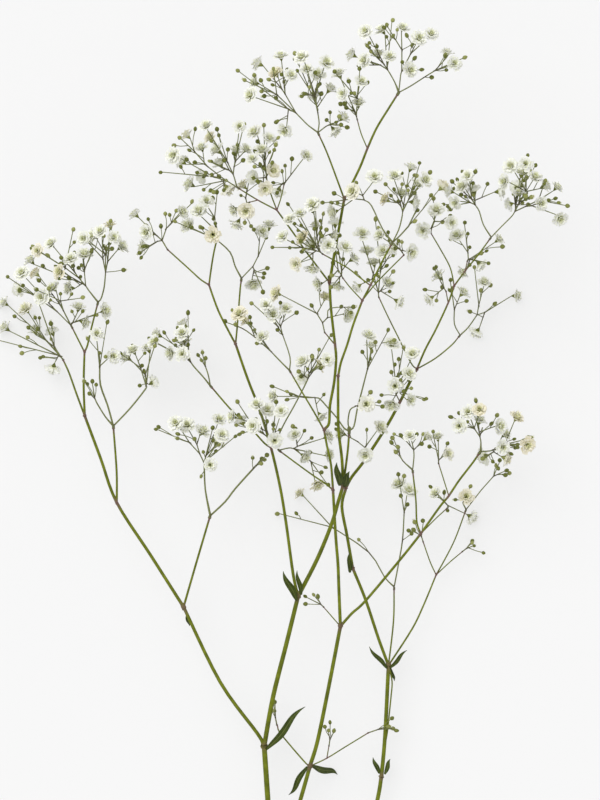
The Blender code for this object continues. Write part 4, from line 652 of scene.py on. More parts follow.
    def groups(self, fork, onward, targets, single):
        """Splits the flowers among two or three arms, the straightest first."""
        if len(targets) <= 3 or single:
            groups = [[t] for t in targets]
        else:
            spread = np.array([tuple((t[0] - fork).normalized()) for t in targets])
            spread = spread - spread.mean(axis=0)
            _, _, axes = np.linalg.svd(spread, full_matrices=False)
            order = np.argsort(spread @ axes[0], kind="stable")
            arms = 3 if len(targets) > 5 else 2
            groups = [[targets[i] for i in cut] for cut in np.array_split(order, arms)]

        def turn_to(group):
            centre = sum((t[0] for t in group), Vector()) / len(group)
            return -(centre - fork).normalized().dot(onward)

        return sorted(groups, key=turn_to)


def is_arm(branch):
    """True for a thin branch that forks no further, beside others like it."""
    name, r0, _, points = branch
    starts = [other[3][0] for other in BRANCHES]
    if r0 > 0.62 or points[-1] in starts:
        return False
    twins = [other for other in BRANCHES if other[3][0] == points[0]]
    if len(twins) < 2 or name in SEPARATE:
        return False
    return all(twin[1] <= 0.62 and twin[3][-1] not in starts and twin[0] not in SEPARATE
               for twin in twins)


def arm_of(name, points, radius, own_path):
    flat = Vector((points[-1][0] - points[-2][0], points[-1][1] - points[-2][1]))
    ahead = place(*points[-1]) - place(*points[-2])
    return {
        "name": name,
        "pixel": points[-1][:2],
        "point": place(*points[-1]),
        "ahead": ahead.normalized(),
        "flat": flat.normalized(),
        "radius": radius * MM,
        "path": [place(*p) for p in points[1:]] if own_path else None,
    }


def find_tips():
    """The ends of the bare branches, each with the arms that grow from it."""
    arms = [branch for branch in BRANCHES if is_arm(branch)]
    bare = [branch for branch in BRANCHES if not is_arm(branch)]
    starts = [branch[3][0] for branch in bare]
    tips = []
    for name, _, r1, points in bare:
        if points[-1] in starts:
            continue
        tip = arm_of("spray_" + name, points, r1, False)
        own = [branch for branch in arms if branch[3][0] == points[-1]]
        tip["arms"] = [arm_of(branch[0], branch[3], branch[2], True) for branch in own]
        if not own:
            tip["arms"] = [tip]
        tips.append(tip)
    return bare, tips

# Shapes that are modelled once and copied

# Petals nearer to the surface than this are pressed towards it
PRESS_HEIGHT = 1.2 * MM

# Fine twigs: their girth next to the solids' own, and their thinnest places
TWIG_SHARE = 1.12
THIN_TWIG = 0.32 * MM
STALK_WAIST = 0.27 * MM
STALK_END = 0.32 * MM
ADDED_STALK = 0.27 * MM
ADDED_STALK_MIDDLE = 0.23 * MM

# Joints: how much thicker they are, and how far they reach along a twig or stem
TWIG_SWELL = 1.35
TWIG_JOINT_LENGTH = 0.7 * MM
STEM_SWELL = 1.55
STEM_JOINT_GIRTHS = 1.3
TWIG_JOINT_TINT = 1.5 * MM
STEM_JOINT_TINT = 4.0 * MM
LEAF_TO_JOINT = 9

# Flowers and buds: size next to the solids' own, turn towards the light, and kinds
FLOWER_SHARE = 1.20
FLOWER_UPTURN = 0.35
LONG_BUDS = 0.3
OPENING_BUDS = 0.16
ADDED_BUDS = 1.25
BUD_TRIES = 16

# Leaf blades
BLADE_SHARE = 0.46
BLADE_SUNK = 0.9 * MM
BLADE_WALL = 0.30 * MM
BLADE_LOW = 0.4 * MM
BLADE_THIN = 0.12 * MM
BLADE_FOLD = 0.55
BLADE_CURL = 0.055
BLADE_TAPER = 0.86


def deselect():
    bpy.ops.object.select_all(action="DESELECT")


def active_mesh(name):
    """Names the primitive that was just added and returns it."""
    obj = bpy.context.object
    obj.name = name
    obj.data.name = name
    return obj


def petal(reach, tip_height, half_width, cup, notch):
    """Two grids with a common rim, as a thin closed petal.

    It springs from the flower's cup, arches out to its reach and height and
    ends blunt, with a notch in the rim. Sizes are shares of the flower's radius.
    """
    deselect()
    bpy.ops.mesh.primitive_grid_add(x_subdivisions=2, y_subdivisions=3, size=1.0)
    obj = active_mesh("petal")
    bm = bmesh.new()
    bm.from_mesh(obj.data)
    under = bmesh.ops.duplicate(bm, geom=bm.verts[:] + bm.edges[:] + bm.faces[:])
    under_faces = [part for part in under["geom"] if isinstance(part, bmesh.types.BMFace)]
    bmesh.ops.reverse_faces(bm, faces=under_faces)
    under_verts = {part for part in under["geom"] if isinstance(part, bmesh.types.BMVert)}
    heart = bm.verts.layers.float.new("heart")
    for vert in bm.verts:
        u = vert.co.x * 2.0
        v = vert.co.y + 0.5
        start = Vector((0.10, 0.30))
        control = Vector((0.10 + (reach - 0.10) * 0.40, 0.30 + (tip_height - 0.30) * 1.02))
        end = Vector((reach, tip_height))
        line = start * (1 - v) ** 2 + control * 2 * v * (1 - v) + end * v ** 2
        spread = half_width * (0.22 + 1.25 * v - 0.47 * v ** 3)
        inside = abs(u) < 0.5 and 0.01 < v < 0.99
        thick = 0.022 if inside else 0.0
        if vert in under_verts:
            thick = -thick
        pulled = notch * (v > 0.99) * (abs(u) < 0.5)
        rise = cup * u * u * v + thick
        vert.co = Vector((line.x - pulled - 0.10 * v * abs(u), u * spread, line.y + rise))
        # Nearness to the flower's middle and the petal root, where the petals turn greenish: partly
        # their own colour, partly painted shade where the petals crowd.
        vert[heart] = max(0.0, 1.0 - 1.25 * line.x - 0.25 * v)
    bmesh.ops.remove_doubles(bm, verts=bm.verts, dist=0.0001)
    bmesh.ops.recalc_face_normals(bm, faces=bm.faces)
    bm.to_mesh(obj.data)
    bm.free()
    return obj


def flower(name, rng, counts):
    """A double flower of petals in layers, the outer ones wide, the inner ones upright."""
    layers = [
        (counts[0], 1.08, 0.66, 0.36, 0.10, 0.09),
        (counts[1], 0.84, 0.94, 0.31, 0.12, 0.06),
        (counts[2], 0.54, 1.12, 0.25, 0.12, 0.05),
        (counts[3], 0.22, 1.10, 0.17, 0.08, 0.02),
    ]
    parts = []
    for k, (count, reach, height, width, cup, notch) in enumerate(layers):
        for i in range(count):
            far = reach * rng.uniform(0.86, 1.06)
            high = height * rng.uniform(0.88, 1.08)
            part = petal(far, min(high, 1.2), width * rng.uniform(0.85, 1.15),
                         cup * rng.uniform(0.2, 1.8), notch * rng.uniform(0.4, 1.5))
            angle = 2 * math.pi * (i + 0.5 * (k % 2) + rng.uniform(-0.22, 0.22)) / count
            tilt = Matrix.Rotation(rng.uniform(-0.16, 0.16), 4, "X")
            part.data.transform(Matrix.Rotation(angle, 4, "Z") @ tilt)
            parts.append(part)
    whole = joined(parts, name)
    return put_away(whole)


def cup(name):
    """The green cup under a flower, its rim in five teeth."""
    deselect()
    bpy.ops.mesh.primitive_cone_add(vertices=10, radius1=0.07, radius2=0.25, depth=0.40,
                                    location=(0, 0, 0.20))
    obj = active_mesh(name)
    obj.data.transform(obj.matrix_basis)
    obj.matrix_basis = Matrix.Identity(4)
    rim = sorted((v for v in obj.data.vertices if v.co.z > 0.39),
                 key=lambda v: math.atan2(v.co.y, v.co.x))
    for i, vert in enumerate(rim):
        if i % 2 == 0:
            vert.co.x *= 1.35
            vert.co.y *= 1.35
            vert.co.z += 0.14
        else:
            vert.co.z -= 0.04
    return put_away(obj)


def bud(name, plump, point):
    """A plump bud, closed to a blunt point over a narrow foot."""
    deselect()
    bpy.ops.mesh.primitive_uv_sphere_add(segments=8, ring_count=6, radius=1.0)
    obj = active_mesh(name)
    for vert in obj.data.vertices:
        t = 0.5 + 0.5 * vert.co.z
        girth = plump * (1.0 + 0.22 * math.sin(math.pi * t) - 0.16 * t)
        vert.co.x *= girth
        vert.co.y *= girth
        vert.co.z = (0.06 + 2.30 * t) * point
    return put_away(obj)


def opening_bud(name, rng):
    """Five upright petals that show at the tip of an opening bud."""
    parts = []
    for i in range(5):
        part = petal(0.42, 1.0, 0.30, 0.10, 0.03)
        part.data.transform(Matrix.Rotation(2 * math.pi * i / 5 + rng.uniform(-0.2, 0.2), 4, "Z"))
        parts.append(part)
    whole = joined(parts, name)
    whole.data.transform(Matrix.Diagonal((1.5, 1.5, 2.6, 1.0)))
    return put_away(whole)


def joined(parts, name):
    deselect()
    for part in parts:
        part.select_set(True)
    bpy.context.view_layer.objects.active = parts[0]
    if len(parts) > 1:
        bpy.ops.object.join()
    obj = parts[0]
    obj.name = name
    obj.data.name = name
    return obj


def put_away(obj):
    """Keeps a master's mesh and takes its object out of the scene."""
    mesh = obj.data
    for part in mesh.polygons:
        part.use_smooth = True
    bpy.data.objects.remove(obj, do_unlink=True)
    return mesh


def copy_of(mesh, matrix, tone, look):
    """A copy of a master at its place, with a tone of its own."""
    own = mesh.copy()
    own.transform(matrix)
    own.materials.append(look)
    layer = own.attributes.new("tone", "FLOAT", "POINT")
    layer.data.foreach_set("value", [tone] * len(own.vertices))
    obj = bpy.data.objects.new(mesh.name, own)
    bpy.context.collection.objects.link(obj)
    return obj


# Twigs and branches


def with_joints(points, radii, joints, swell, near):
    """Adds close points on both sides of each joint, and thickens the joint."""
    path = []
    for i, (point, radius) in enumerate(zip(points, radii)):
        if i not in joints:
            path.append((point, radius))
            continue
        if i > 0:
            back = points[i - 1] - point
            if back.length > 2.5 * near:
                path.append((point + back.normalized() * near, radius))
        path.append((point, radius * swell))
        if i < len(points) - 1:
            onward = points[i + 1] - point
            if onward.length > 2.5 * near:
                path.append((point + onward.normalized() * near, radius))
    return path


def rounded(path, steps):
    """The path on a smooth curve, with its radii eased along it."""
    if len(path) < 3:
        return path
    points = smooth_path([point for point, _ in path], steps)
    radii = []
    for i in range(len(path) - 1):
        for k in range(steps):
            t = k / steps
            t = t * t * (3 - 2 * t)
            radii.append(path[i][1] * (1 - t) + path[i + 1][1] * t)
    radii.append(path[-1][1])
    return list(zip(points, radii))


def tubes(name, runs, bevel):
    """All the runs as round tapering tubes in one mesh."""
    curve = bpy.data.curves.new(name, "CURVE")
    curve.dimensions = "3D"
    curve.bevel_depth = 1.0
    curve.bevel_resolution = bevel
    curve.use_fill_caps = True
    for run in runs:
        spline = curve.splines.new("POLY")
        spline.points.add(len(run) - 1)
        for i, (point, radius) in enumerate(run):
            spline.points[i].co = (*point, 1.0)
            spline.points[i].radius = radius
    obj = bpy.data.objects.new(name, curve)
    bpy.context.collection.objects.link(obj)
    deselect()
    obj.select_set(True)
    bpy.context.view_layer.objects.active = obj
    bpy.ops.object.convert(target="MESH")
    obj = bpy.context.object
    bm = bmesh.new()
    bm.from_mesh(obj.data)
    bmesh.ops.remove_doubles(bm, verts=bm.verts, dist=1e-6)
    bmesh.ops.recalc_face_normals(bm, faces=bm.faces)
    bm.to_mesh(obj.data)
    bm.free()
    for part in obj.data.polygons:
        part.use_smooth = True
    return obj


def mark_joints(obj, joints, near, tone):
    """Gives each point how close it is to a joint, from 0 to 1."""
    tree = KDTree(len(joints))
    for i, joint in enumerate(joints):
        tree.insert(joint, i)
    tree.balance()
    values = []
    for vert in obj.data.vertices:
        away = tree.find(vert.co)[2]
        values.append(max(0.0, 1.0 - away / near))
    layer = obj.data.attributes.new("joint", "FLOAT", "POINT")
    layer.data.foreach_set("value", values)
    layer = obj.data.attributes.new("tone", "FLOAT", "POINT")
    layer.data.foreach_set("value", [tone] * len(values))


def press_on_floor(obj):
    """Bends what would reach below the surface flat along it, as soft petals lie."""
    for vert in obj.data.vertices:
        if vert.co.z < PRESS_HEIGHT:
            vert.co.z = PRESS_HEIGHT * math.exp(vert.co.z / PRESS_HEIGHT - 1.0)


# The sprays


class Dressing:
    """The fine form of one grown spray: twigs, cups, buds and petals."""

    def __init__(self, spray, index, masters, looks):
        self.spray = spray
        self.rng = random.Random(7000 + index)
        self.masters = masters
        self.looks = looks
        self.runs = []
        self.joints = []
        self.green = []
        self.white = []

    def twigs(self):
        """Every chain as a round twig, thicker where others spring from it."""
        forks = [chain[0][0] for chain, _ in self.spray.chains]
        for k, (chain, head) in enumerate(self.spray.chains):
            points = [point for point, _ in chain]
            radii = [max(radius * TWIG_SHARE, THIN_TWIG) for _, radius in chain]
            radii[0] = radii[1]
            if k == 0:
                points.insert(0, self.spray.tip["point"])
                radii.insert(0, self.spray.tip["radius"] * 1.2)
            if head is not None:
                radii[-1] = STALK_WAIST
                points.append(points[-1] + head[2] * head[3] * 0.05)
                radii.append(STALK_END)
            inner = {0}
            for i in range(1, len(points) - 1):
                if any((points[i] - fork).length < 0.4 * MM for fork in forks):
                    inner.add(i)
            path = with_joints(points, radii, inner, TWIG_SWELL, TWIG_JOINT_LENGTH)
            self.runs.append(rounded(path, 3))
            self.joints += [points[i] for i in inner]

    def heads(self):
        rng = self.rng
        for _, head in self.spray.chains:
            if head is None:
                continue
            root, axis, size, spin = head[1:5]
            if head[0] == "bloom":
                size *= FLOWER_SHARE
                axis = (axis + Vector((0, 0, FLOWER_UPTURN))).normalized()
            turn = Matrix.Translation(root) @ turned_to(axis, spin) @ Matrix.Scale(size, 4)
            tone = rng.random()
            if head[0] == "bloom":
                flowers = self.masters["flowers"]
                kind = flowers[int(rng.random() * len(flowers))]
                self.white.append(copy_of(kind, turn, tone, self.looks["petal"]))
                self.green.append(copy_of(self.masters["cup"], turn, tone, self.looks["bud"]))
            else:
                self.add_bud(turn, tone)

    def add_bud(self, turn, tone):
        rng = self.rng
        kind = "bud_long" if rng.random() < LONG_BUDS else "bud_round"
        self.green.append(copy_of(self.masters[kind], turn, tone, self.looks["bud"]))
        if rng.random() < OPENING_BUDS:
            self.white.append(copy_of(self.masters["opening"], turn, tone, self.looks["petal"]))

    def more_buds(self, share):
        """Buds on short stalks at the joints under the flowers and along the tips."""
        rng = self.rng
        spray = self.spray
        for chain, head in list(spray.chains):
            if len(chain) < 2:
                continue
            wanted = share * (1.5 if head is None else 1.0)
            while wanted > rng.random():
                wanted -= 1.0
                self.one_more(chain)

    def one_more(self, chain):
        rng = self.rng
        spray = self.spray
        for _ in range(BUD_TRIES):
            at = len(chain) - 2 if rng.random() < 0.75 else max(1, len(chain) - 3)
            at = max(at, 1) if len(chain) > 2 else 0
            a = chain[at][0]
            if len(chain) == 2 or rng.random() < 0.35:
                a = chain[-2][0].lerp(chain[-1][0], rng.uniform(0.25, 0.7))
            way = (chain[-1][0] - chain[-2][0]).normalized()
            out = (a - spray.tip["point"]).normalized()
            shake = Vector([rng.uniform(-1, 1) for _ in range(3)])
            ahead = (way + out * 0.7 + shake * 1.1).normalized()
            size = BUD_RADIUS * rng.uniform(0.85, 1.15)
            length = rng.uniform(3.0, 9.5) * MM
            centre = a + ahead * (length + size * 1.2)
            inside = all(CAD_BOX[0][k] < centre[k] - 2 * size and
                         centre[k] + 2 * size < CAD_BOX[1][k] for k in range(3))
            if not inside:
                continue
            if not spray.room.clear(centre, centre, size * 1.25, spray.name, 0.1 * MM):
                continue
            if not spray.room_for(a.lerp(centre, 0.25), centre, 0.2 * MM, None, None):
                continue
            spray.room.add(centre, centre, size * 1.25, spray.name)
            side = ahead.orthogonal() * rng.uniform(-0.5, 0.5) * MM
            mid = a.lerp(centre, 0.5) + side
            root = centre - ahead * size * 1.2
            stalk = [(a, ADDED_STALK), (mid, ADDED_STALK_MIDDLE), (root, ADDED_STALK)]
            self.runs.append(rounded(stalk, 2))
            self.joints.append(a)
            turn = (Matrix.Translation(root) @ turned_to(ahead, rng.uniform(0, 6.28))
                    @ Matrix.Scale(size, 4))
            self.add_bud(turn, rng.random())
            return

    def finish(self):
        name = self.spray.name
        twigs = tubes("twigs_" + name[6:], self.runs, 1)
        mark_joints(twigs, self.joints, TWIG_JOINT_TINT, self.rng.random())
        twigs.data.materials.append(self.looks["twig"])
        green = joined([twigs] + self.green, "twigs_" + name[6:])
        pieces = [green]
        if self.white:
            white = joined(self.white, "petals_" + name[6:])
            pieces.append(white)
        for piece in pieces:
            press_on_floor(piece)
            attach(piece, "root")
            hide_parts(name)
        return pieces


# The stem


def dress_stem(bare, look):
    """The bare branches as round stems, thicker at their joints."""
    runs = []
    joints = []
    for name, r0, r1, points in bare:
        path = [place(*p) for p in points]
        last = len(path) - 1
        radii = [(r0 + (r1 - r0) * i / last) * MM for i in range(last + 1)]
        knots = {0, last}
        for i, point in enumerate(points):
            if any(math.hypot(point[0] - leaf[1][0], point[1] - leaf[1][1]) < LEAF_TO_JOINT
                   for leaf in LEAVES):
                knots.add(i)
        if name == "base":
            knots = {last}
        joints += [path[i] for i in knots]
        jointed = with_joints(path, radii, knots, STEM_SWELL, STEM_JOINT_GIRTHS * radii[0])
        runs.append(rounded(jointed, 5))
    stem = tubes("stem_branches", runs, 3)
    mark_joints(stem, joints, STEM_JOINT_TINT, 0.5)
    for vert in stem.data.vertices:
        vert.co.z = max(vert.co.z, 0.0)
    stem.data.materials.append(look)
    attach(stem, "root")
    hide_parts("main_stem")
    return stem


# Leaves


def dress_leaf(name, root, tip, width, lift, look):
    """A long pointed blade, folded along its midrib and curling at the tip."""
    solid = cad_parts[name]
    a = place(*root)
    b = place(*tip)
    ahead = (b - a).normalized()
    side = ahead.cross(Vector((0, 0, 1))).normalized()
    up = side.cross(ahead).normalized()
    spots = [v.co for v in solid.data.vertices]
    along = [(spot - a).dot(ahead) for spot in spots]
    near = min(along)
    far = max(along)
    foot = [spot for spot, t in zip(spots, along) if t < near + 0.2 * MM]
    start = sum(foot, Vector()) / len(foot)
    length = far - near
    deselect()
    bpy.ops.mesh.primitive_grid_add(x_subdivisions=8, y_subdivisions=18, size=1.0)
    blade = active_mesh(name.replace("leaf_", "blade_"))
    full_span = 0.30 + 0.70 * math.sin(math.pi * BLADE_TAPER * 1.12) ** 0.8
    for vert in blade.data.vertices:
        u = vert.co.x * 2.0
        v = vert.co.y + 0.5
        if v < BLADE_TAPER:
            span = 0.30 + 0.70 * math.sin(math.pi * min(1.0, v * 1.12)) ** 0.8
        else:
            span = full_span * (1 - v) / 0.14
        half = max(BLADE_SHARE * width * MM * min(1.0, span), BLADE_THIN)
        t = -BLADE_SUNK + (length + BLADE_SUNK) * v
        arch = math.sin(math.pi * v) * lift * MM * 0.6
        fold = BLADE_FOLD * half * abs(u) ** 1.3
        wave = 0.10 * half * math.sin(9 * v + 2.0 * u) * abs(u)
        curl = BLADE_CURL * length * math.sin(2 * math.pi * v) * v
        spot = start + ahead * t + side * (half * u + curl) + up * (arch + fold + wave)
        spot.z = max(spot.z, BLADE_LOW)
        vert.co = spot
    wall = blade.modifiers.new("Wall", "SOLIDIFY")
    wall.thickness = BLADE_WALL
    wall.offset = 0.0
    deselect()
    blade.select_set(True)
    bpy.context.view_layer.objects.active = blade
    bpy.ops.object.modifier_apply(modifier=wall.name)
    for part in blade.data.polygons:
        part.use_smooth = True
    blade.data.materials.append(look)
    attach(blade, "root")
    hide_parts(name)
    return blade


# Materials


def group_socket(group, name, kind, value, out=False):
    way = "OUTPUT" if out else "INPUT"
    socket = group.interface.new_socket(name=name, in_out=way, socket_type=kind)
    if not out:
        socket.default_value = value


def mottle_group():
    """Cloudy variation between two colours over the surface, on Object coordinates."""
    group = bpy.data.node_groups.new("Mottle", "ShaderNodeTree")
    group_socket(group, "Dark", "NodeSocketColor", (0.1, 0.1, 0.1, 1))
    group_socket(group, "Light", "NodeSocketColor", (0.5, 0.5, 0.5, 1))
    group_socket(group, "Scale", "NodeSocketFloat", 300.0)
    group_socket(group, "Shift", "NodeSocketFloat", 0.0)
    group_socket(group, "Colour", "NodeSocketColor", None, True)
    group_socket(group, "Value", "NodeSocketFloat", None, True)
    nodes = group.nodes
    links = group.links
    ins = nodes.new("NodeGroupInput")
    outs = nodes.new("NodeGroupOutput")
    coords = nodes.new("ShaderNodeTexCoord")
    noise = nodes.new("ShaderNodeTexNoise")
    noise.inputs["Detail"].default_value = 4.0
    noise.inputs["Roughness"].default_value = 0.6
    add = nodes.new("ShaderNodeMath")
    add.operation = "ADD"
    ramp = nodes.new("ShaderNodeMapRange")
    ramp.inputs["From Min"].default_value = 0.32
    ramp.inputs["From Max"].default_value = 0.68
    mix = nodes.new("ShaderNodeMix")
    mix.data_type = "RGBA"
    links.new(coords.outputs["Object"], noise.inputs["Vector"])
    links.new(ins.outputs["Scale"], noise.inputs["Scale"])
    links.new(noise.outputs["Fac"], add.inputs[0])
    links.new(ins.outputs["Shift"], add.inputs[1])
    links.new(add.outputs[0], ramp.inputs["Value"])
    links.new(ramp.outputs["Result"], mix.inputs["Factor"])
    links.new(ins.outputs["Dark"], mix.inputs["A"])
    links.new(ins.outputs["Light"], mix.inputs["B"])
    links.new(mix.outputs["Result"], outs.inputs["Colour"])
    links.new(ramp.outputs["Result"], outs.inputs["Value"])
    return group


def new_material(name, roughness):
    mat = bpy.data.materials.new(name)
    mat.use_nodes = True
    shader = mat.node_tree.nodes["Principled BSDF"]
    shader.inputs["Roughness"].default_value = roughness
    shader.inputs["Specular IOR Level"].default_value = 0.2
    return mat, mat.node_tree.nodes, mat.node_tree.links, shader


def colour_mix(nodes, links, factor, low, high, out):
    """Mixes two colours or sockets by a factor socket into a socket."""
    mix = nodes.new("ShaderNodeMix")
    mix.data_type = "RGBA"
    links.new(factor, mix.inputs["Factor"])
    for value, socket in ((low, mix.inputs["A"]), (high, mix.inputs["B"])):
        if isinstance(value, tuple):
            socket.default_value = (*value, 1.0)
        else:
            links.new(value, socket)
    if out is not None:
        links.new(mix.outputs["Result"], out)
    return mix.outputs["Result"]


def attribute(nodes, name):
    node = nodes.new("ShaderNodeAttribute")
    node.attribute_name = name
    return node.outputs["Fac"]


def ranged(nodes, links, value, low, high, to_low=0.0, to_high=1.0):
    node = nodes.new("ShaderNodeMapRange")
    node.inputs["From Min"].default_value = low
    node.inputs["From Max"].default_value = high
    node.inputs["To Min"].default_value = to_low
    node.inputs["To Max"].default_value = to_high
    links.new(value, node.inputs["Value"])
    return node.outputs["Result"]


def mottled(nodes, group, dark, light, scale, shift=0.0):
    node = nodes.new("ShaderNodeGroup")
    node.node_tree = group
    node.inputs["Dark"].default_value = (*dark, 1.0)
    node.inputs["Light"].default_value = (*light, 1.0)
    node.inputs["Scale"].default_value = scale
    node.inputs["Shift"].default_value = shift
    return node


def bump(nodes, links, height, distance, shader):
    node = nodes.new("ShaderNodeBump")
    node.inputs["Strength"].default_value = 0.6
    node.inputs["Distance"].default_value = distance
    links.new(height, node.inputs["Height"])
    links.new(node.outputs["Normal"], shader.inputs["Normal"])


def bark(name, group, young, old, joint_colour, scale):
    """Green bark, mottled, browner at the joints."""
    mat, nodes, links, shader = new_material(name, 0.55)
    base = mottled(nodes, group, old, young, scale)
    near = ranged(nodes, links, attribute(nodes, "joint"), 0.15, 0.75)
    colour_mix(nodes, links, near, base.outputs["Colour"], joint_colour,
               shader.inputs["Base Color"])
    rough = ranged(nodes, links, base.outputs["Value"], 0.0, 1.0, 0.48, 0.66)
    links.new(rough, shader.inputs["Roughness"])
    bump(nodes, links, base.outputs["Value"], 0.05 * MM, shader)
    return mat


def bud_material(group):
    """Olive green, paler towards yellow on some buds."""
    mat, nodes, links, shader = new_material("bud_green", 0.5)
    base = mottled(nodes, group, BUD_DARK, BUD_LIGHT, 900.0)
    pale = ranged(nodes, links, attribute(nodes, "tone"), 0.55, 1.0, 0.0, 0.75)
    colour_mix(nodes, links, pale, base.outputs["Colour"], BUD_PALE, shader.inputs["Base Color"])
    bump(nodes, links, base.outputs["Value"], 0.06 * MM, shader)
    return mat


def petal_material(group):
    """White petals, greenish towards the middle: partly their own colour, partly painted shade where
    the petals crowd at the root; some flowers turning cream.
    """
    mat, nodes, links, shader = new_material("petal_white", 0.6)
    base = mottled(nodes, group, PETAL_SHADE, PETAL_WHITE, 700.0, 0.08)
    cream = ranged(nodes, links, attribute(nodes, "tone"), 0.84, 1.0, 0.0, 0.7)
    toned = colour_mix(nodes, links, cream, base.outputs["Colour"], PETAL_CREAM, None)
    # Painted shade, partly the flower's own green: darker and greener towards the petal roots and the
    # flower's middle.
    heart = ranged(nodes, links, attribute(nodes, "heart"), 0.20, 1.00)
    colour_mix(nodes, links, heart, toned, PETAL_HEART_SHADE, shader.inputs["Base Color"])
    shader.inputs["Subsurface Weight"].default_value = 0.25
    shader.inputs["Subsurface Radius"].default_value = (0.0012, 0.0012, 0.0009)
    shader.inputs["Subsurface Scale"].default_value = 1.0
    bump(nodes, links, base.outputs["Value"], 0.08 * MM, shader)
    return mat


def leaf_material(group):
    """Grey-green blades with fine lengthwise veins and a paler midrib."""
    mat, nodes, links, shader = new_material("leaf_green", 0.48)
    base = mottled(nodes, group, LEAF_DARK, LEAF_LIGHT, 260.0)
    uv = nodes.new("ShaderNodeTexCoord")
    split = nodes.new("ShaderNodeSeparateXYZ")
    links.new(uv.outputs["UV"], split.inputs["Vector"])
    off = nodes.new("ShaderNodeMath")
    off.operation = "SUBTRACT"
    off.inputs[1].default_value = 0.5
    links.new(split.outputs["X"], off.inputs[0])
    away = nodes.new("ShaderNodeMath")
    away.operation = "ABSOLUTE"
    links.new(off.outputs[0], away.inputs[0])
    rib = ranged(nodes, links, away.outputs[0], 0.02, 0.07, 1.0, 0.0)
    wave = nodes.new("ShaderNodeTexWave")
    wave.inputs["Scale"].default_value = 7.0
    wave.inputs["Distortion"].default_value = 0.6
    links.new(uv.outputs["UV"], wave.inputs["Vector"])
    veins = ranged(nodes, links, wave.outputs["Fac"], 0.0, 1.0, 0.0, 0.35)
    veined = colour_mix(nodes, links, veins, base.outputs["Colour"], LEAF_VEIN, None)
    colour_mix(nodes, links, rib, veined, LEAF_RIB, shader.inputs["Base Color"])
    bump(nodes, links, wave.outputs["Fac"], 0.10 * MM, shader)
    return mat


# Colours, linear
STEM_YOUNG = (0.165, 0.195, 0.008)
STEM_OLD = (0.080, 0.100, 0.002)
STEM_JOINT = (0.150, 0.085, 0.070)
TWIG_YOUNG = (0.200, 0.220, 0.075)
TWIG_OLD = (0.125, 0.138, 0.048)
TWIG_JOINT = (0.070, 0.058, 0.036)
BUD_DARK = (0.080, 0.095, 0.014)
BUD_LIGHT = (0.180, 0.200, 0.040)
BUD_PALE = (0.340, 0.355, 0.120)
PETAL_WHITE = (0.900, 0.900, 0.865)
PETAL_SHADE = (0.740, 0.755, 0.610)
PETAL_CREAM = (0.800, 0.730, 0.520)
# Greenish middle of the flower, partly its own colour and partly painted shade at the petal roots.
PETAL_HEART_SHADE = (0.660, 0.690, 0.290)
LEAF_DARK = (0.026, 0.044, 0.004)
LEAF_LIGHT = (0.070, 0.095, 0.012)
LEAF_VEIN = (0.090, 0.118, 0.020)
LEAF_RIB = (0.150, 0.175, 0.045)


# The setting

FLOOR_WHITE = (0.90, 0.90, 0.90, 1.0)
FLOOR_DROP = 0.3 * MM
FLOOR_GLOW = 0.88
GLOW_SHARE = 0.70
SKY_STRENGTH = 0.84
SUN_STRENGTH = 1.4
SUN_WIDTH = 50
SUN_TURN = (-28, -24)
FOCAL_LENGTH = 500.0
MID_HEIGHT = 55 * MM


def set_camera():
    """Looks straight down on the stem, with the photograph's edges as its frame."""
    data = bpy.data.cameras.new("camera")
    data.lens = FOCAL_LENGTH
    data.sensor_width = 36.0
    data.clip_end = 50.0
    camera = bpy.data.objects.new("camera", data)
    bpy.context.scene.collection.objects.link(camera)
    middle = place(300, 400, 0)
    far = 800 * PIXEL * data.lens / data.sensor_width
    camera.location = (middle.x, middle.y, MID_HEIGHT + far)
    bpy.context.scene.camera = camera
    data.dof.use_dof = False


def set_stage():
    """A pale floor, and soft light from a wide sky and a high soft sun.

    The floor glows a little where the camera sees it, which thins its shadows.
    """
    deselect()
    bpy.ops.mesh.primitive_plane_add(size=16.0, location=(0, 0, -FLOOR_DROP))
    floor = active_mesh("floor")
    mat, nodes, links, shader = new_material("floor_white", 0.9)
    shader.inputs["Base Color"].default_value = FLOOR_WHITE
    glow = nodes.new("ShaderNodeEmission")
    glow.inputs["Strength"].default_value = FLOOR_GLOW
    seen = nodes.new("ShaderNodeLightPath")
    share = nodes.new("ShaderNodeMath")
    share.operation = "MULTIPLY"
    share.inputs[1].default_value = GLOW_SHARE
    links.new(seen.outputs["Is Camera Ray"], share.inputs[0])
    blend = nodes.new("ShaderNodeMixShader")
    links.new(share.outputs[0], blend.inputs["Fac"])
    links.new(shader.outputs["BSDF"], blend.inputs[1])
    links.new(glow.outputs["Emission"], blend.inputs[2])
    links.new(blend.outputs["Shader"], nodes["Material Output"].inputs["Surface"])
    floor.data.materials.append(mat)
    world = bpy.data.worlds.new("soft_sky")
    bpy.context.scene.world = world
    world.use_nodes = True
    back = world.node_tree.nodes["Background"]
    back.inputs["Color"].default_value = (1.0, 1.0, 1.0, 1.0)
    back.inputs["Strength"].default_value = SKY_STRENGTH
    sun_data = bpy.data.lights.new("soft_sun", "SUN")
    sun_data.energy = SUN_STRENGTH
    sun_data.angle = math.radians(SUN_WIDTH)
    sun = bpy.data.objects.new("soft_sun", sun_data)
    bpy.context.scene.collection.objects.link(sun)
    sun.rotation_euler = (math.radians(SUN_TURN[0]), math.radians(SUN_TURN[1]), 0)
    bpy.context.scene.view_settings.view_transform = "Standard"


# Making it

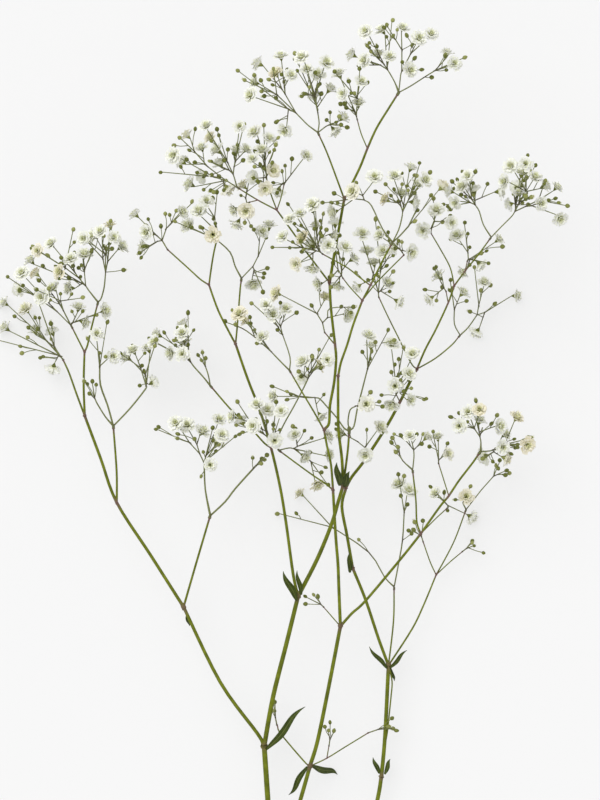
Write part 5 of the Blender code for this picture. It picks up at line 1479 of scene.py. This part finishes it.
set_camera()
set_stage()

ROOM = Room()
BARE, TIPS = find_tips()
for _, first_radius, last_radius, stops in BARE:
    way = [place(*p) for p in stops]
    for k, (near_end, far_end) in enumerate(zip(way, way[1:])):
        girth = first_radius + (last_radius - first_radius) * k / (len(way) - 1)
        ROOM.add(near_end, far_end, girth * MM * 1.04, "main_stem")
for leaf_name, leaf_root, leaf_tip, leaf_width, _ in LEAVES:
    ROOM.add(place(*leaf_root), place(*leaf_tip), leaf_width * 0.5 * MM, leaf_name)
SPRAYS = []
for index, (tip, shares) in enumerate(zip(TIPS, share_blooms(TIPS))):
    spray = Spray(tip, ROOM, random.Random(SEED * 1000 + index))
    spray.prepare(shares)
    SPRAYS.append(spray)
for spray in SPRAYS:
    spray.grow()
for spray in SPRAYS:
    spray.grow_missing()

MOTTLE = mottle_group()
LOOKS = {
    "stem": bark("stem_bark", MOTTLE, STEM_YOUNG, STEM_OLD, STEM_JOINT, 180.0),
    "twig": bark("twig_bark", MOTTLE, TWIG_YOUNG, TWIG_OLD, TWIG_JOINT, 500.0),
    "bud": bud_material(MOTTLE),
    "petal": petal_material(MOTTLE),
    "leaf": leaf_material(MOTTLE),
}

SHAPES = random.Random(523)
MASTERS = {
    "flowers": [flower(f"flower_{k}", SHAPES, counts) for k, counts in
                enumerate([(8, 8, 6, 5), (7, 8, 7, 4), (9, 7, 6, 5), (8, 8, 6, 4)])],
    "cup": cup("cup"),
    "bud_round": bud("bud_round", 0.92, 1.0),
    "bud_long": bud("bud_long", 0.82, 1.12),
    "opening": opening_bud("opening", SHAPES),
}

dress_stem(BARE, LOOKS["stem"])
for leaf_name, leaf_root, leaf_tip, leaf_width, leaf_lift in LEAVES:
    dress_leaf(leaf_name, leaf_root, leaf_tip, leaf_width, leaf_lift, LOOKS["leaf"])
for index, spray in enumerate(SPRAYS):
    dressing = Dressing(spray, index, MASTERS, LOOKS)
    dressing.twigs()
    dressing.heads()
    dressing.more_buds(ADDED_BUDS)
    dressing.finish()
